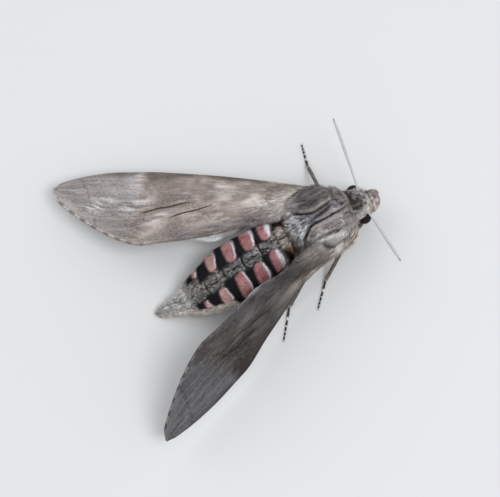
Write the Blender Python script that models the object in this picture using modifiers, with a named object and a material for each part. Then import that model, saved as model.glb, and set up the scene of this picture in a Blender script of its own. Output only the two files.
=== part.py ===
"""Convolvulus hawk moth, life size, standing with its wings swept back and half open.

The moth faces -Y, its left side is +X and +Z is up.  Lengths below are millimetres,
turned into metres by MM.  X and Y are measured from the middle of the thorax and Z
from the floor; the last step moves everything so that the origin is the middle of the
bottom of the whole moth.
"""
import bpy
import bmesh
from math import cos, pi, radians, sin
from mathutils import Matrix, Vector

MM = 0.001
GAP = 0.3                 # space kept between neighbouring solids
RING_SIDES = 20           # facets round the trunk
ABDOMEN_SIDES = 24        # facets round an abdomen ring
WELD = 0.00005            # metres, joins cap corners of a converted tube

# Head: turned a little to the moth's right about the neck
HEAD_TURN_DEG = -5.0
NECK = (0.0, -4.5, 7.4)
EYE_RADIUS = 1.5
EYE_CENTRE = (2.7, -9.15, 7.0)
PALP_CENTRE = (1.2, -12.0, 6.2)
PALP_RADII = (1.15, 1.4, 2.2)
PALP_LEAN_DEG = 12.0

# Stations along the trunk: y, centre z, half width, height above, depth below
HEAD_STATIONS = (
    (-7.50, 7.5, 2.3, 2.2, 1.9),
    (-7.85, 7.5, 3.0, 2.7, 2.3),
    (-8.60, 7.4, 3.4, 2.9, 2.6),
    (-9.50, 7.3, 3.4, 2.8, 2.6),
    (-10.40, 7.1, 3.0, 2.4, 2.4),
    (-11.00, 6.9, 2.3, 1.7, 1.8),
    (-11.40, 6.8, 1.3, 0.9, 0.9),
)
COLLAR_STATIONS = (
    (-4.95, 8.0, 4.9, 4.6, 4.1),
    (-5.40, 8.0, 5.1, 4.7, 4.2),
    (-6.20, 7.9, 4.7, 4.4, 3.9),
    (-6.75, 7.8, 3.9, 3.7, 3.2),
    (-6.95, 7.7, 2.8, 2.7, 2.3),
)
THORAX_STATIONS = (
    (6.75, 8.0, 2.9, 2.6, 2.6),
    (6.35, 8.0, 4.2, 3.7, 3.7),
    (5.00, 8.0, 5.1, 4.4, 4.5),
    (2.60, 8.0, 5.8, 5.0, 5.0),
    (-0.50, 8.0, 6.1, 5.3, 5.2),
    (-3.00, 8.0, 5.75, 5.1, 4.9),
    (-4.35, 8.0, 5.25, 4.7, 4.4),
    (-4.65, 8.0, 4.7, 4.2, 3.9),
)

# Shoulder plates lying over the thorax above each wing root
TEGULA_THICKNESS = 1.0
TEGULA_CENTRE = (5.35, -0.6, 11.4)
TEGULA_RADII = (4.4, 5.2, 4.6)

# Abdomen: half width, height and sideways bend of the middle line along its length
ABDOMEN_HALF_WIDTHS = (
    (7.1, 4.5), (9.0, 5.05), (12.0, 5.6), (15.0, 5.95), (18.5, 6.15), (22.3, 5.75),
    (25.8, 4.75), (30.0, 3.15), (33.0, 2.0), (36.0, 1.15), (37.0, 0.9),
)
ABDOMEN_HEIGHTS = (
    (7.1, 7.5), (9.3, 7.4), (13.1, 7.1), (17.2, 6.65), (21.5, 5.9), (25.6, 4.85),
    (29.5, 3.5), (33.3, 2.0), (37.0, 0.72),
)
ABDOMEN_BEND = (
    (7.1, 0.0), (13.0, -0.55), (18.0, -1.05), (22.0, -1.4), (26.0, -1.6), (30.0, -1.45),
    (33.0, -1.1), (35.0, -0.75), (37.0, -0.45),
)
ABDOMEN_FLATNESS = 0.87
ABDOMEN_JOINTS = (7.1, 9.2, 13.1, 17.2, 21.5, 25.7, 29.6, 33.4, 37.0)

# Wings: outline tables run from root (0) to tip (1); chords are measured from the
# straight line between the leading-edge root and the tip, positive to the rear
WING_THICKNESS = 0.5
FOREWING_LENGTH = 51.3
FOREWING_REAR_ROOT = 3.7
FOREWING_LEAD = (
    (0.0, 0.0), (0.1, -0.8), (0.2, -1.5), (0.35, -2.4), (0.5, -3.0), (0.62, -3.3),
    (0.74, -3.2), (0.85, -2.5), (0.93, -1.4), (0.97, -0.6), (1.0, 0.4),
)
FOREWING_TRAIL = (
    (0.0, 4.9), (0.06, 6.5), (0.14, 8.3), (0.27, 10.5), (0.41, 12.0), (0.53, 13.1),
    (0.61, 13.8), (0.67, 13.2), (0.75, 11.5), (0.83, 9.1), (0.91, 6.1), (0.97, 3.4),
    (1.0, 1.3),
)
HINDWING_LENGTH = 29.0
HINDWING_REAR_ROOT = 1.0
HINDWING_LEAD = (
    (0.0, 0.0), (0.2, -1.4), (0.45, -2.1), (0.7, -2.0), (0.88, -0.9), (1.0, 0.9),
)
HINDWING_TRAIL = (
    (0.0, 2.0), (0.15, 4.3), (0.3, 6.7), (0.4, 8.3), (0.5, 9.1), (0.63, 9.0),
    (0.76, 8.1), (0.88, 6.2), (1.0, 2.6),
)
# Where each wing is set: root, sweep out from straight back, slope down, roof slope
FOREWING_LEFT_SET = ((7.6, -1.2, 8.5), 28.6, 4.0, 15.0)
FOREWING_RIGHT_SET = ((-7.3, -1.6, 8.3), 20.25, 4.0, 60.0)
HINDWING_LEFT_SET = ((7.2, 3.4, 7.0), 31.0, 3.0, -4.0)
HINDWING_RIGHT_SET = ((-6.25, 3.6, 6.6), 20.4, 3.0, 64.0)
FOREWING_CAMBER = 1.0
HINDWING_CAMBER = 0.6
# Degrees by which the roof slope steepens along a wing; only the raised one is twisted
NO_TWIST = ((0.0, 0.0), (1.0, 0.0))
FOREWING_RIGHT_TWIST = (
    (0.0, 7.0), (0.08, 13.0), (0.18, 14.5), (0.3, 9.0), (0.45, 4.5), (0.6, 0.0), (1.0, 0.0),
)

# Legs: hip, knee, ankle and toe of each, and the half thickness of each length
FEMUR_RADIUS = 0.58
TIBIA_RADIUS = 0.42
TARSUS_RADIUS = 0.29
ANKLE_HEIGHT = 0.85
TOE_HEIGHT = 0.26
JOINT_SPACE = 0.42        # each length stops this far short of the joint
LEG_PATHS = {
    "front_left": ((2.3, -5.6, 3.3), (4.3, -7.4, 3.1), (4.0, -9.6), (3.4, -12.2)),
    "front_right": ((-2.3, -5.6, 3.3), (-4.1, -7.0, 3.1), (-3.0, -8.9), (-1.9, -11.0)),
    "middle_left": ((3.2, -0.9, 2.9), (7.0, -4.0, 5.0), (12.8, -4.8), (17.7, -6.0)),
    "middle_right": ((-3.2, -0.9, 2.9), (-7.0, -1.7, 4.9), (-10.1, 3.3), (-14.5, 7.3)),
    "hind_left": ((3.0, 3.4, 3.0), (7.4, 5.4, 4.2), (10.6, 12.0), (14.6, 16.8)),
    "hind_right": ((-3.0, 3.4, 3.0), (-7.4, 5.8, 4.2), (-11.6, 12.4), (-17.0, 16.5)),
}

# Antennae and proboscis, in the head's own straight position
ANTENNA_PATH = (
    (2.25, -9.72, 9.75), (3.6, -9.86, 10.3), (6.0, -9.99, 11.5), (9.0, -10.03, 13.3),
    (12.0, -10.07, 15.2), (14.3, -10.04, 16.8), (15.6, -9.95, 17.8),
)
ANTENNA_FORWARD = {"left": 0.025, "right": -0.025}   # lean to the front per mm out
ANTENNA_RADII = (0.27, 0.28, 0.32, 0.36, 0.35, 0.31, 0.26)
PROBOSCIS_CENTRE = (0.0, -9.9, 2.75)
PROBOSCIS_RADIUS = 0.27
PROBOSCIS_TURNS = 2.0
PROBOSCIS_OUTER = 1.55
PROBOSCIS_PITCH = 0.66
PROBOSCIS_STEPS = 22


def smooth_table(table, x):
    """Value at x of a smooth line through the (x, value) pairs of a table."""
    if x <= table[0][0]:
        return table[0][1]
    if x >= table[-1][0]:
        return table[-1][1]
    i = 0
    while table[i + 1][0] < x:
        i += 1

    def slope(k):
        if k == 0 or k == len(table) - 1:
            return 0.0 if k else (table[1][1] - table[0][1]) / (table[1][0] - table[0][0])
        before = (table[k][1] - table[k - 1][1]) / (table[k][0] - table[k - 1][0])
        after = (table[k + 1][1] - table[k][1]) / (table[k + 1][0] - table[k][0])
        if before * after <= 0.0:
            return 0.0
        return 2.0 * before * after / (before + after)

    x0, y0 = table[i]
    x1, y1 = table[i + 1]
    h = x1 - x0
    t = (x - x0) / h
    return (
        (2 * t ** 3 - 3 * t ** 2 + 1) * y0 + (t ** 3 - 2 * t ** 2 + t) * h * slope(i)
        + (3 * t ** 2 - 2 * t ** 3) * y1 + (t ** 3 - t ** 2) * h * slope(i + 1)
    )


def clear_scene():
    for ob in list(bpy.data.objects):
        bpy.data.objects.remove(ob, do_unlink=True)


def new_collection(name):
    group = bpy.data.collections.new(name)
    bpy.context.scene.collection.children.link(group)
    return group


def material(name, colour, roughness, metallic=0.0):
    mat = bpy.data.materials.new(name)
    mat.use_nodes = True
    bsdf = mat.node_tree.nodes["Principled BSDF"]
    bsdf.inputs["Base Color"].default_value = (*colour, 1.0)
    bsdf.inputs["Roughness"].default_value = roughness
    bsdf.inputs["Metallic"].default_value = metallic
    mat.diffuse_color = (*colour, 1.0)
    return mat


def mesh_object(name, mesh, group, mat=None):
    ob = bpy.data.objects.new(name, mesh)
    group.objects.link(ob)
    if mat is not None:
        mesh.materials.append(mat)
    for face in mesh.polygons:
        face.use_smooth = True
    return ob


def finish_bmesh(name, bm, group, mat=None):
    bmesh.ops.recalc_face_normals(bm, faces=bm.faces)
    mesh = bpy.data.meshes.new(name)
    bm.to_mesh(mesh)
    bm.free()
    return mesh_object(name, mesh, group, mat)


def loft(name, stations, group, mat=None, grow=0.0, grow_ends=0.0):
    """Closed body through oval sections that differ along Y."""
    bm = bmesh.new()
    rings = []
    first = stations[0][0]
    last = stations[-1][0]
    outward = 1.0 if first > last else -1.0
    for y, z, half_width, up, down in stations:
        shift = outward * grow_ends if y == first else 0.0
        shift = -outward * grow_ends if y == last else shift
        ring = []
        for i in range(RING_SIDES):
            a = 2.0 * pi * i / RING_SIDES
            tall = up if sin(a) > 0.0 else down
            ring.append(bm.verts.new((
                (half_width + grow) * cos(a) * MM,
                (y + shift) * MM,
                (z + (tall + grow) * sin(a)) * MM,
            )))
        rings.append(ring)
    for near, far in zip(rings, rings[1:]):
        for i in range(RING_SIDES):
            j = (i + 1) % RING_SIDES
            bm.faces.new((near[i], near[j], far[j], far[i]))
    bm.faces.new(rings[0])
    bm.faces.new(list(reversed(rings[-1])))
    return finish_bmesh(name, bm, group, mat)


def ball(name, centre, radii, group, mat=None, segments=18, rows=11, lean_deg=0.0):
    """Ellipsoid, optionally leaning about the X axis."""
    bm = bmesh.new()
    bmesh.ops.create_uvsphere(bm, u_segments=segments, v_segments=rows, radius=1.0)
    grow = Matrix.Diagonal((radii[0] * MM, radii[1] * MM, radii[2] * MM, 1.0))
    lean = Matrix.Rotation(radians(lean_deg), 4, "X")
    move = Matrix.Translation(Vector(centre) * MM)
    bmesh.ops.transform(bm, matrix=move @ lean @ grow, verts=bm.verts)
    return finish_bmesh(name, bm, group, mat)


def limb(name, points, radii, group, mat=None):
    """Tube of changing thickness through a few points, as a closed mesh."""
    curve = bpy.data.curves.new(name, "CURVE")
    curve.dimensions = "3D"
    curve.bevel_depth = MM
    curve.bevel_resolution = 2
    curve.use_fill_caps = True
    spline = curve.splines.new("POLY")
    spline.points.add(len(points) - 1)
    for point, place, radius in zip(spline.points, points, radii):
        point.co = (place[0] * MM, place[1] * MM, place[2] * MM, 1.0)
        point.radius = radius
    tube = bpy.data.objects.new(name + " line", curve)
    group.objects.link(tube)
    bpy.context.view_layer.update()
    shaped = tube.evaluated_get(bpy.context.evaluated_depsgraph_get())
    mesh = bpy.data.meshes.new_from_object(shaped)
    bpy.data.objects.remove(tube, do_unlink=True)
    bpy.data.curves.remove(curve)
    bm = bmesh.new()
    bm.from_mesh(mesh)
    bpy.data.meshes.remove(mesh)
    bmesh.ops.remove_doubles(bm, verts=bm.verts, dist=WELD)
    return finish_bmesh(name, bm, group, mat)


def cut(ob, cutter, operation="DIFFERENCE"):
    mod = ob.modifiers.new("trim by " + cutter.name, "BOOLEAN")
    mod.operation = operation
    mod.solver = "EXACT"
    mod.object = cutter
    cutter.hide_render = True
    cutter.display_type = "WIRE"


def head_pivot(group):
    pivot = bpy.data.objects.new("neck pivot", None)
    group.objects.link(pivot)
    pivot.location = Vector(NECK) * MM
    pivot.rotation_euler = (0.0, 0.0, radians(HEAD_TURN_DEG))
    return pivot


def hang_on_head(ob, pivot):
    ob.parent = pivot
    ob.matrix_parent_inverse = Matrix.Translation(-Vector(NECK) * MM)


def build_head(parts, cutters, pivot, mats):
    head = loft("head", HEAD_STATIONS, parts, mats["head_scales"])
    hang_on_head(head, pivot)
    clearance = loft("head clearance", HEAD_STATIONS, cutters, None, GAP, GAP)
    hang_on_head(clearance, pivot)
    for side, word in ((1, "left"), (-1, "right")):
        centre = (side * EYE_CENTRE[0], EYE_CENTRE[1], EYE_CENTRE[2])
        eye = ball("eye_" + word, centre, (EYE_RADIUS,) * 3, parts, mats["eye_surface"], 16, 10)
        hang_on_head(eye, pivot)
        socket = ball("socket " + word, centre, (EYE_RADIUS + GAP,) * 3, cutters)
        hang_on_head(socket, pivot)
        cut(head, socket)
        spot = (side * PALP_CENTRE[0], PALP_CENTRE[1], PALP_CENTRE[2])
        palp = ball("palp_" + word, spot, PALP_RADII, parts, mats["palp_scales"],
                    14, 10, PALP_LEAN_DEG)
        hang_on_head(palp, pivot)
        cut(palp, clearance)
        lean = ANTENNA_FORWARD[word]
        root = ANTENNA_PATH[0][0]
        path = [(side * x, y + lean * (x - root), z) for x, y, z in ANTENNA_PATH]
        antenna = limb("antenna_" + word, path, ANTENNA_RADII, parts, mats["antenna_scales"])
        hang_on_head(antenna, pivot)
        cut(antenna, clearance)


def build_proboscis(parts, pivot, mats):
    path = []
    for i in range(PROBOSCIS_STEPS + 1):
        turn = PROBOSCIS_TURNS * i / PROBOSCIS_STEPS
        reach = PROBOSCIS_OUTER - PROBOSCIS_PITCH * turn
        angle = 2.0 * pi * turn
        path.append((
            PROBOSCIS_CENTRE[0],
            PROBOSCIS_CENTRE[1] + reach * sin(angle),
            PROBOSCIS_CENTRE[2] + reach * cos(angle),
        ))
    proboscis = limb("proboscis", path, [PROBOSCIS_RADIUS] * len(path), parts,
                     mats["proboscis_skin"])
    hang_on_head(proboscis, pivot)


def build_thorax(parts, cutters, mats):
    loft("collar", COLLAR_STATIONS, parts, mats["collar_scales"])
    loft("thorax", THORAX_STATIONS, parts, mats["thorax_scales"])
    return loft("thorax clearance", THORAX_STATIONS, cutters, None, GAP, GAP)


def build_tegula(side, word, parts, cutters, clearance, mats):
    tegula = loft("tegula_" + word, THORAX_STATIONS, parts, mats["tegula_scales"],
                  TEGULA_THICKNESS, 0.0)
    centre = (side * TEGULA_CENTRE[0], TEGULA_CENTRE[1], TEGULA_CENTRE[2])
    patch = ball("tegula outline " + word, centre, TEGULA_RADII, cutters, None, 22, 13)
    cut(tegula, patch, "INTERSECT")
    cut(tegula, clearance)


def table_slope(table, y):
    step = 0.2
    return (smooth_table(table, y + step) - smooth_table(table, y - step)) / (2.0 * step)


def build_abdomen_ring(name, front, rear, parts, mat):
    """One ring turned about its own axis, then flattened and laid on the slope."""
    start = front + 0.5 * GAP
    end = rear - 0.5 * GAP
    middle = 0.5 * (start + end)
    x = smooth_table(ABDOMEN_BEND, middle)
    z = smooth_table(ABDOMEN_HEIGHTS, middle)
    profile = (
        (start, 0.0, 0.0), (start, 0.72, 0.0), (start, 0.9, 0.12), (start, 1.0, 0.45),
        (middle, 1.0, 0.0),
        (end, 1.0, -0.45), (end, 0.93, -0.1), (end, 0.72, 0.0), (end, 0.0, 0.0),
    )
    bm = bmesh.new()
    verts = []
    for y, share, inset in profile:
        along = y + inset
        radius = smooth_table(ABDOMEN_HALF_WIDTHS, along) * share
        verts.append(bm.verts.new((radius * MM, (along - middle) * MM, 0.0)))
    for near, far in zip(verts, verts[1:]):
        bm.edges.new((near, far))
    mesh = bpy.data.meshes.new(name)
    bm.to_mesh(mesh)
    bm.free()
    ob = mesh_object(name, mesh, parts, mat)
    turn = ob.modifiers.new("turned ring", "SCREW")
    turn.axis = "Y"
    turn.steps = ABDOMEN_SIDES
    turn.render_steps = ABDOMEN_SIDES
    turn.use_merge_vertices = True
    turn.merge_threshold = 0.00001
    turn.use_normal_calculate = True
    turn.use_smooth_shade = True
    ob.scale = (1.0, 1.0, ABDOMEN_FLATNESS)
    ob.rotation_euler = (
        table_slope(ABDOMEN_HEIGHTS, middle), 0.0, -table_slope(ABDOMEN_BEND, middle))
    ob.location = (x * MM, middle * MM, z * MM)
    return ob


def build_abdomen(parts, floor, mats):
    spans = list(zip(ABDOMEN_JOINTS, ABDOMEN_JOINTS[1:]))
    for number, (front, rear) in enumerate(spans, start=1):
        if number < len(spans):
            build_abdomen_ring("abdomen_ring_%d" % number, front, rear, parts,
                               mats["abdomen_scales"])
        else:
            tip = build_abdomen_ring("abdomen_tip", front, rear, parts, mats["tail_scales"])
            cut(tip, floor)


def wing_axes(side, sweep_deg, slope_deg, roof_deg):
    """Unit directions along the wing, across it to the rear, and out of its top."""
    sweep = radians(sweep_deg)
    slope = radians(slope_deg)
    roof = radians(roof_deg)
    level = Vector((side * sin(sweep), cos(sweep), 0.0))
    along = level * cos(slope) + Vector((0.0, 0.0, -sin(slope)))
    inward = Vector((-side * cos(sweep), sin(sweep), 0.0))
    top = inward.cross(along) * side
    if top.z < 0.0:
        top = -top
    across = inward * cos(roof) + top * sin(roof)
    normal = top * cos(roof) - inward * sin(roof)
    return along, across, normal


def build_wing(name, side, outline, place, twist, parts, mat, grid):
    """Thin cambered blade: a grid laid out between the two edges, then thickened.

    A twisted wing keeps its rear edge and turns its chord about it.
    """
    length, rear_root, lead, trail, camber = outline
    root, sweep_deg, slope_deg, roof_deg = place
    along, rearward, _ = wing_axes(side, sweep_deg, slope_deg, roof_deg)
    bm = bmesh.new()
    bmesh.ops.create_grid(bm, x_segments=grid[0], y_segments=grid[1], size=0.5)
    for vert in bm.verts:
        u = vert.co.x + 0.5
        v = vert.co.y + 0.5
        s = (1.0 - v) * length * u + v * (rear_root + (length - rear_root) * u)
        c = (1.0 - v) * smooth_table(lead, u) + v * smooth_table(trail, u)
        rise = camber * sin(pi * v) * sin(pi * (0.1 + 0.9 * u))
        edge = smooth_table(trail, u)
        steeper = roof_deg + smooth_table(twist, u)
        _, across, normal = wing_axes(side, sweep_deg, slope_deg, steeper)
        spot = Vector(root) + along * s + rearward * edge + across * (c - edge) + normal * rise
        vert.co = spot * MM
    wing = finish_bmesh(name, bm, parts, mat)
    shell = wing.modifiers.new("blade thickness", "SOLIDIFY")
    shell.thickness = WING_THICKNESS * MM
    shell.offset = 0.0
    shell.use_even_offset = True
    return wing


def build_wings(parts, cutters, mats):
    fore = (FOREWING_LENGTH, FOREWING_REAR_ROOT, FOREWING_LEAD, FOREWING_TRAIL,
            FOREWING_CAMBER)
    hind = (HINDWING_LENGTH, HINDWING_REAR_ROOT, HINDWING_LEAD, HINDWING_TRAIL,
            HINDWING_CAMBER)
    shoulder = loft("shoulder clearance", THORAX_STATIONS, cutters, None,
                    TEGULA_THICKNESS + GAP, GAP)
    fore_grid = (22, 7)
    hind_grid = (14, 6)
    places = (
        ("forewing_left", 1, fore, FOREWING_LEFT_SET, NO_TWIST, fore_grid),
        ("forewing_right", -1, fore, FOREWING_RIGHT_SET, FOREWING_RIGHT_TWIST, fore_grid),
        ("hindwing_left", 1, hind, HINDWING_LEFT_SET, NO_TWIST, hind_grid),
        ("hindwing_right", -1, hind, HINDWING_RIGHT_SET, NO_TWIST, hind_grid),
    )
    for name, side, outline, place, twist, grid in places:
        slot = name.split("_")[0] + "_scales"
        wing = build_wing(name, side, outline, place, twist, parts, mats[slot], grid)
        cut(wing, shoulder)


def leg_length(name, start, end, radius, parts, mat):
    """One length of a leg, rounded off a little short of the joints at its ends."""
    a = Vector(start)
    b = Vector(end)
    way = (b - a).normalized()
    a = a + way * JOINT_SPACE
    b = b - way * JOINT_SPACE
    shares = (0.0, 0.09, 0.5, 0.91, 1.0)
    sizes = (0.55, 0.95, 1.0, 0.85, 0.5)
    points = [a.lerp(b, t) for t in shares]
    radii = [radius * k for k in sizes]
    return limb(name, points, radii, parts, mat)


def build_leg(word, path, parts, floor, clearance, mats):
    hip, knee, ankle, toe = path
    ankle = (ankle[0], ankle[1], ANKLE_HEIGHT)
    femur = leg_length("femur_" + word, hip, knee, FEMUR_RADIUS, parts, mats["leg_scales"])
    cut(femur, clearance)
    leg_length("tibia_" + word, knee, ankle, TIBIA_RADIUS, parts, mats["leg_scales"])
    start = Vector(ankle)
    end = Vector((toe[0], toe[1], TOE_HEIGHT))
    way = (end - start).normalized()
    start = start + way * JOINT_SPACE
    low = start.lerp(end, 0.45)
    low.z = TOE_HEIGHT
    points = (start, start.lerp(low, 0.25), low, low.lerp(end, 0.5), end)
    radii = [TARSUS_RADIUS] * len(points)
    tarsus = limb("tarsus_" + word, points, radii, parts, mats["tarsus_scales"])
    cut(tarsus, floor)


def floor_cutter(cutters):
    """Everything under the floor, so that feet and tail end in small flats."""
    bm = bmesh.new()
    bmesh.ops.create_cube(bm, size=1.0)
    deep = 5.0
    wide = 140.0
    size = Matrix.Diagonal((wide * MM, wide * MM, deep * MM, 1.0))
    move = Matrix.Translation((0.0, 0.0, -0.5 * deep * MM))
    bmesh.ops.transform(bm, matrix=move @ size, verts=bm.verts)
    return finish_bmesh("floor level", bm, cutters)


def make_materials():
    return {
        "head_scales": material("head_scales", (0.095, 0.09, 0.09), 0.85),
        "eye_surface": material("eye_surface", (0.018, 0.011, 0.008), 0.12),
        "palp_scales": material("palp_scales", (0.31, 0.27, 0.25), 0.85),
        "antenna_scales": material("antenna_scales", (0.33, 0.35, 0.36), 0.7),
        "proboscis_skin": material("proboscis_skin", (0.05, 0.03, 0.02), 0.35),
        "collar_scales": material("collar_scales", (0.15, 0.14, 0.135), 0.85),
        "thorax_scales": material("thorax_scales", (0.12, 0.11, 0.105), 0.85),
        "tegula_scales": material("tegula_scales", (0.16, 0.15, 0.15), 0.85),
        "abdomen_scales": material("abdomen_scales", (0.3, 0.16, 0.16), 0.8),
        "tail_scales": material("tail_scales", (0.26, 0.26, 0.255), 0.85),
        "forewing_scales": material("forewing_scales", (0.27, 0.25, 0.235), 0.75),
        "hindwing_scales": material("hindwing_scales", (0.3, 0.3, 0.3), 0.75),
        "leg_scales": material("leg_scales", (0.1, 0.085, 0.08), 0.8),
        "tarsus_scales": material("tarsus_scales", (0.045, 0.04, 0.04), 0.6),
    }


def stand_on_origin(parts, cutters):
    """Shift the whole moth so the middle of its underside is the origin."""
    bpy.context.view_layer.update()
    graph = bpy.context.evaluated_depsgraph_get()
    spots = []
    for ob in parts.objects:
        if ob.type == "MESH":
            shaped = ob.evaluated_get(graph)
            spots += [shaped.matrix_world @ v.co for v in shaped.to_mesh().vertices]
            shaped.to_mesh_clear()
    low = [min(c[i] for c in spots) for i in range(3)]
    high = [max(c[i] for c in spots) for i in range(3)]
    root = bpy.data.objects.new("moth centre", None)
    parts.objects.link(root)
    for group in (parts, cutters):
        for ob in list(group.objects):
            if ob.parent is None and ob is not root:
                ob.parent = root
    root.location = (-(low[0] + high[0]) / 2, -(low[1] + high[1]) / 2, -low[2])
    bpy.context.view_layer.update()


def build():
    clear_scene()
    parts = new_collection("hawk moth")
    cutters = new_collection("hawk moth cutters")
    mats = make_materials()
    pivot = head_pivot(parts)
    floor = floor_cutter(cutters)
    build_head(parts, cutters, pivot, mats)
    build_proboscis(parts, pivot, mats)
    clearance = build_thorax(parts, cutters, mats)
    for side, word in ((1, "left"), (-1, "right")):
        build_tegula(side, word, parts, cutters, clearance, mats)
    build_abdomen(parts, floor, mats)
    build_wings(parts, cutters, mats)
    for word, path in LEG_PATHS.items():
        build_leg(word, path, parts, floor, clearance, mats)
    stand_on_origin(parts, cutters)


build()
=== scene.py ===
"""Convolvulus hawk moth, life size: one skin under a coat of scale tufts, with wings, eyes,
feelers, coiled tongue and legs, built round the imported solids.

Lengths are millimetres in the moth's own frame: x to its left, y towards its tail, both from
the middle of the thorax, and z up from the floor.  to_frame() turns them into the metres of
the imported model.  Angles round the body are degrees from the top, rising to the moth's left.
"""
from collections import namedtuple
from math import cos, radians, sin

import bpy
import numpy as np
from mathutils import Matrix, Vector


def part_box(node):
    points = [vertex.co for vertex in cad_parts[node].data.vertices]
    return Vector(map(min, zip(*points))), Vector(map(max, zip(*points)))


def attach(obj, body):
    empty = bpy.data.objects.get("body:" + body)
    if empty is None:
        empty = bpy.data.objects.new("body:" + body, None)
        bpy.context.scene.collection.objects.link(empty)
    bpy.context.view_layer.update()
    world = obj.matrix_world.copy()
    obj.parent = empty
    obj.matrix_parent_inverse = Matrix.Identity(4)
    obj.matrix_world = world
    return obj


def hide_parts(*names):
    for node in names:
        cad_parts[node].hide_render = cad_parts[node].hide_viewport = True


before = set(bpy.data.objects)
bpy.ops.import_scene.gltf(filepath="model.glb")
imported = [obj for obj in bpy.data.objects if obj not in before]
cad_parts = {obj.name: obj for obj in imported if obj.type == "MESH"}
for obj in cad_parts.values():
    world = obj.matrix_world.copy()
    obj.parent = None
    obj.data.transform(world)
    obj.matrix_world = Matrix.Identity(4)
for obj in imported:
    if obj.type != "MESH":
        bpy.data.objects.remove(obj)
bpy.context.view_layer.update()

MM = 0.001
UP = np.array([0, 0, 1])

# ---------------------------------------------------------------- driving sizes

THORAX_MIDDLE_Y = 1.05        # y of the middle of the thorax solid's own box
SKIN_VOXEL = 0.145            # side of the cells from which the skin is read
NECK = (0, -4.5)              # x and y of the point that the head turns about
HEAD_TURN = -5                # degrees the head turns to the moth's right
NECK_SPAN = (-7.6, -6.4)      # over this length the body takes up the turn

EYE_RADIUS = 1.5
EYE_CENTRE = (2.7, -9.15, 7)
EYES = [(side, word, np.array(EYE_CENTRE) * (side, 1, 1))
        for side, word in ((1, "left"), (-1, "right"))]
PALP_LEAN = 12
# Eggs that shape the face: centre, radii and lean of both palps, of which the left one reaches
# a little further forward, of the snout between them and of the face
FACE_EGGS = (((0.8, -11.95, 6.1), (0.9, 1.35, 1.9), PALP_LEAN),
             ((-0.8, -11.55, 6.1), (0.9, 1.35, 1.9), PALP_LEAN),
             ((-0.05, -11.65, 6.3), (1.4, 1.42, 1.95), PALP_LEAN),
             ((-0.15, -10.85, 6.6), (2.2, 1.6, 2.15), 0))

# Joints between the rings of the abdomen, front to rear
RING_JOINTS = (9.2, 13.1, 17.2, 21.5, 25.7, 29.6, 33.4)

# Pink side lobes of the abdomen: place of the front edge at its inner and outer end, of the
# rear edge, inner limits in degrees left and right of the top, how pink each lobe is, and how
# wide its white front edge
Lobe = namedtuple("Lobe", "front_inner front_outer rear left right pink white")
LOBES = (
    Lobe(10.25, 9.5, 12.15, 12, 13, 1, 1.15),
    Lobe(13.85, 13.25, 16.1, 11, 18, 1, 0.5),
    Lobe(18.2, 17.55, 20.15, 12, 13, 0.9, 0.22),
    Lobe(22.6, 21.8, 24.1, 19, 21, 0.45, 0.12),
    Lobe(26.75, 25.95, 27.4, 45, 32, 0.1, 0.15),
)
LOBE_SKEW = 0.04              # the moth's right lobes lie a little further back
LOBE_LOW = 71                 # degrees from the top where the lobes end
LOBE_RISE = 12                # by how much less it is on the moth's right towards the tail
FLANK_TOP = 80                # and where the pale flanks start, further forward
BLACK_END = 29                # the last black patch ends here

Leg = namedtuple("Leg", "hip knee ankle toe")
ANKLE_HEIGHT = 0.85
TOE_HEIGHT = 0.26
LEGS = {
    "front_left": Leg((2.3, -5.6, 3.3), (4.3, -7.4, 3.1), (4, -9.6), (3.4, -12.2)),
    "front_right": Leg((-2.3, -5.6, 3.3), (-4.1, -7, 3.1), (-3, -8.9), (-1.9, -11)),
    "middle_left": Leg((3.2, -0.9, 2.9), (7, -4, 5), (12.8, -4.8), (17.7, -6)),
    "middle_right": Leg((-3.2, -0.9, 2.9), (-7, -1.7, 4.9), (-10.1, 3.3), (-14.5, 7.3)),
    "hind_left": Leg((3, 3.4, 3), (7.4, 5.4, 4.2), (10.6, 12), (14.6, 16.8)),
    "hind_right": Leg((-3, 3.4, 3), (-7.4, 5.8, 4.2), (-11.6, 12.4), (-17, 16.5)),
}

ANTENNA_PATH = ((2.25, -9.72, 9.3), (3.6, -9.86, 10.2), (6, -9.99, 11.5), (9, -10.03, 13.3),
                (12, -10.07, 15.2), (14.3, -10.04, 16.8), (15.6, -9.95, 17.8))
ANTENNA_FORWARD = 0.025       # slope in y that turns the left feeler back, the right one forward
ANTENNA_RINGS = 62

COIL_CENTRE = (0, -9.9, 2.75)
COIL_RADIUS = 0.25
COIL_TURNS = 2
COIL_OUTER = 1.55
COIL_PITCH = 0.66


# ---------------------------------------------------------------- small mathematics

def curve(*points):
    """A smooth curve through (place, value) points that never overshoots, for arrays."""
    x, y = np.array(points, float).T
    step = np.diff(x)
    rise = np.diff(y) / step
    slope = np.zeros_like(x)
    slope[0] = rise[0]
    same = rise[:-1] * rise[1:] > 0
    slope[1:-1][same] = (2 * rise[:-1] * rise[1:])[same] / (rise[:-1] + rise[1:])[same]

    def value(at):
        at = np.clip(at, x[0], x[-1])
        k = np.clip(np.searchsorted(x, at, "right") - 1, 0, len(step) - 1)
        t = (at - x[k]) / step[k]
        near = (1 + 2 * t) * (1 - t) ** 2 * y[k] + t * (1 - t) ** 2 * step[k] * slope[k]
        far = t * t * (3 - 2 * t) * y[k + 1] + t * t * (t - 1) * step[k] * slope[k + 1]
        return near + far

    return value


def ramp(low, high, x):
    """0 below low, 1 above high and smooth between; low may be the higher number."""
    t = np.clip((x - low) / (high - low), 0, 1)
    return t * t * (3 - 2 * t)


def window(low, high, x, soft):
    """1 between low and high, falling to 0 over soft on each side."""
    return ramp(low - soft, low + soft, x) * ramp(high + soft, high - soft, x)


def ridge(distance, width):
    """1 on a line, falling away over about width."""
    return np.exp(-(distance / width) ** 2)


def dab(aside, ahead, size):
    """1 at a point, given the distances from it, falling away over about size."""
    return ridge(np.hypot(aside, ahead), size)


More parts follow.
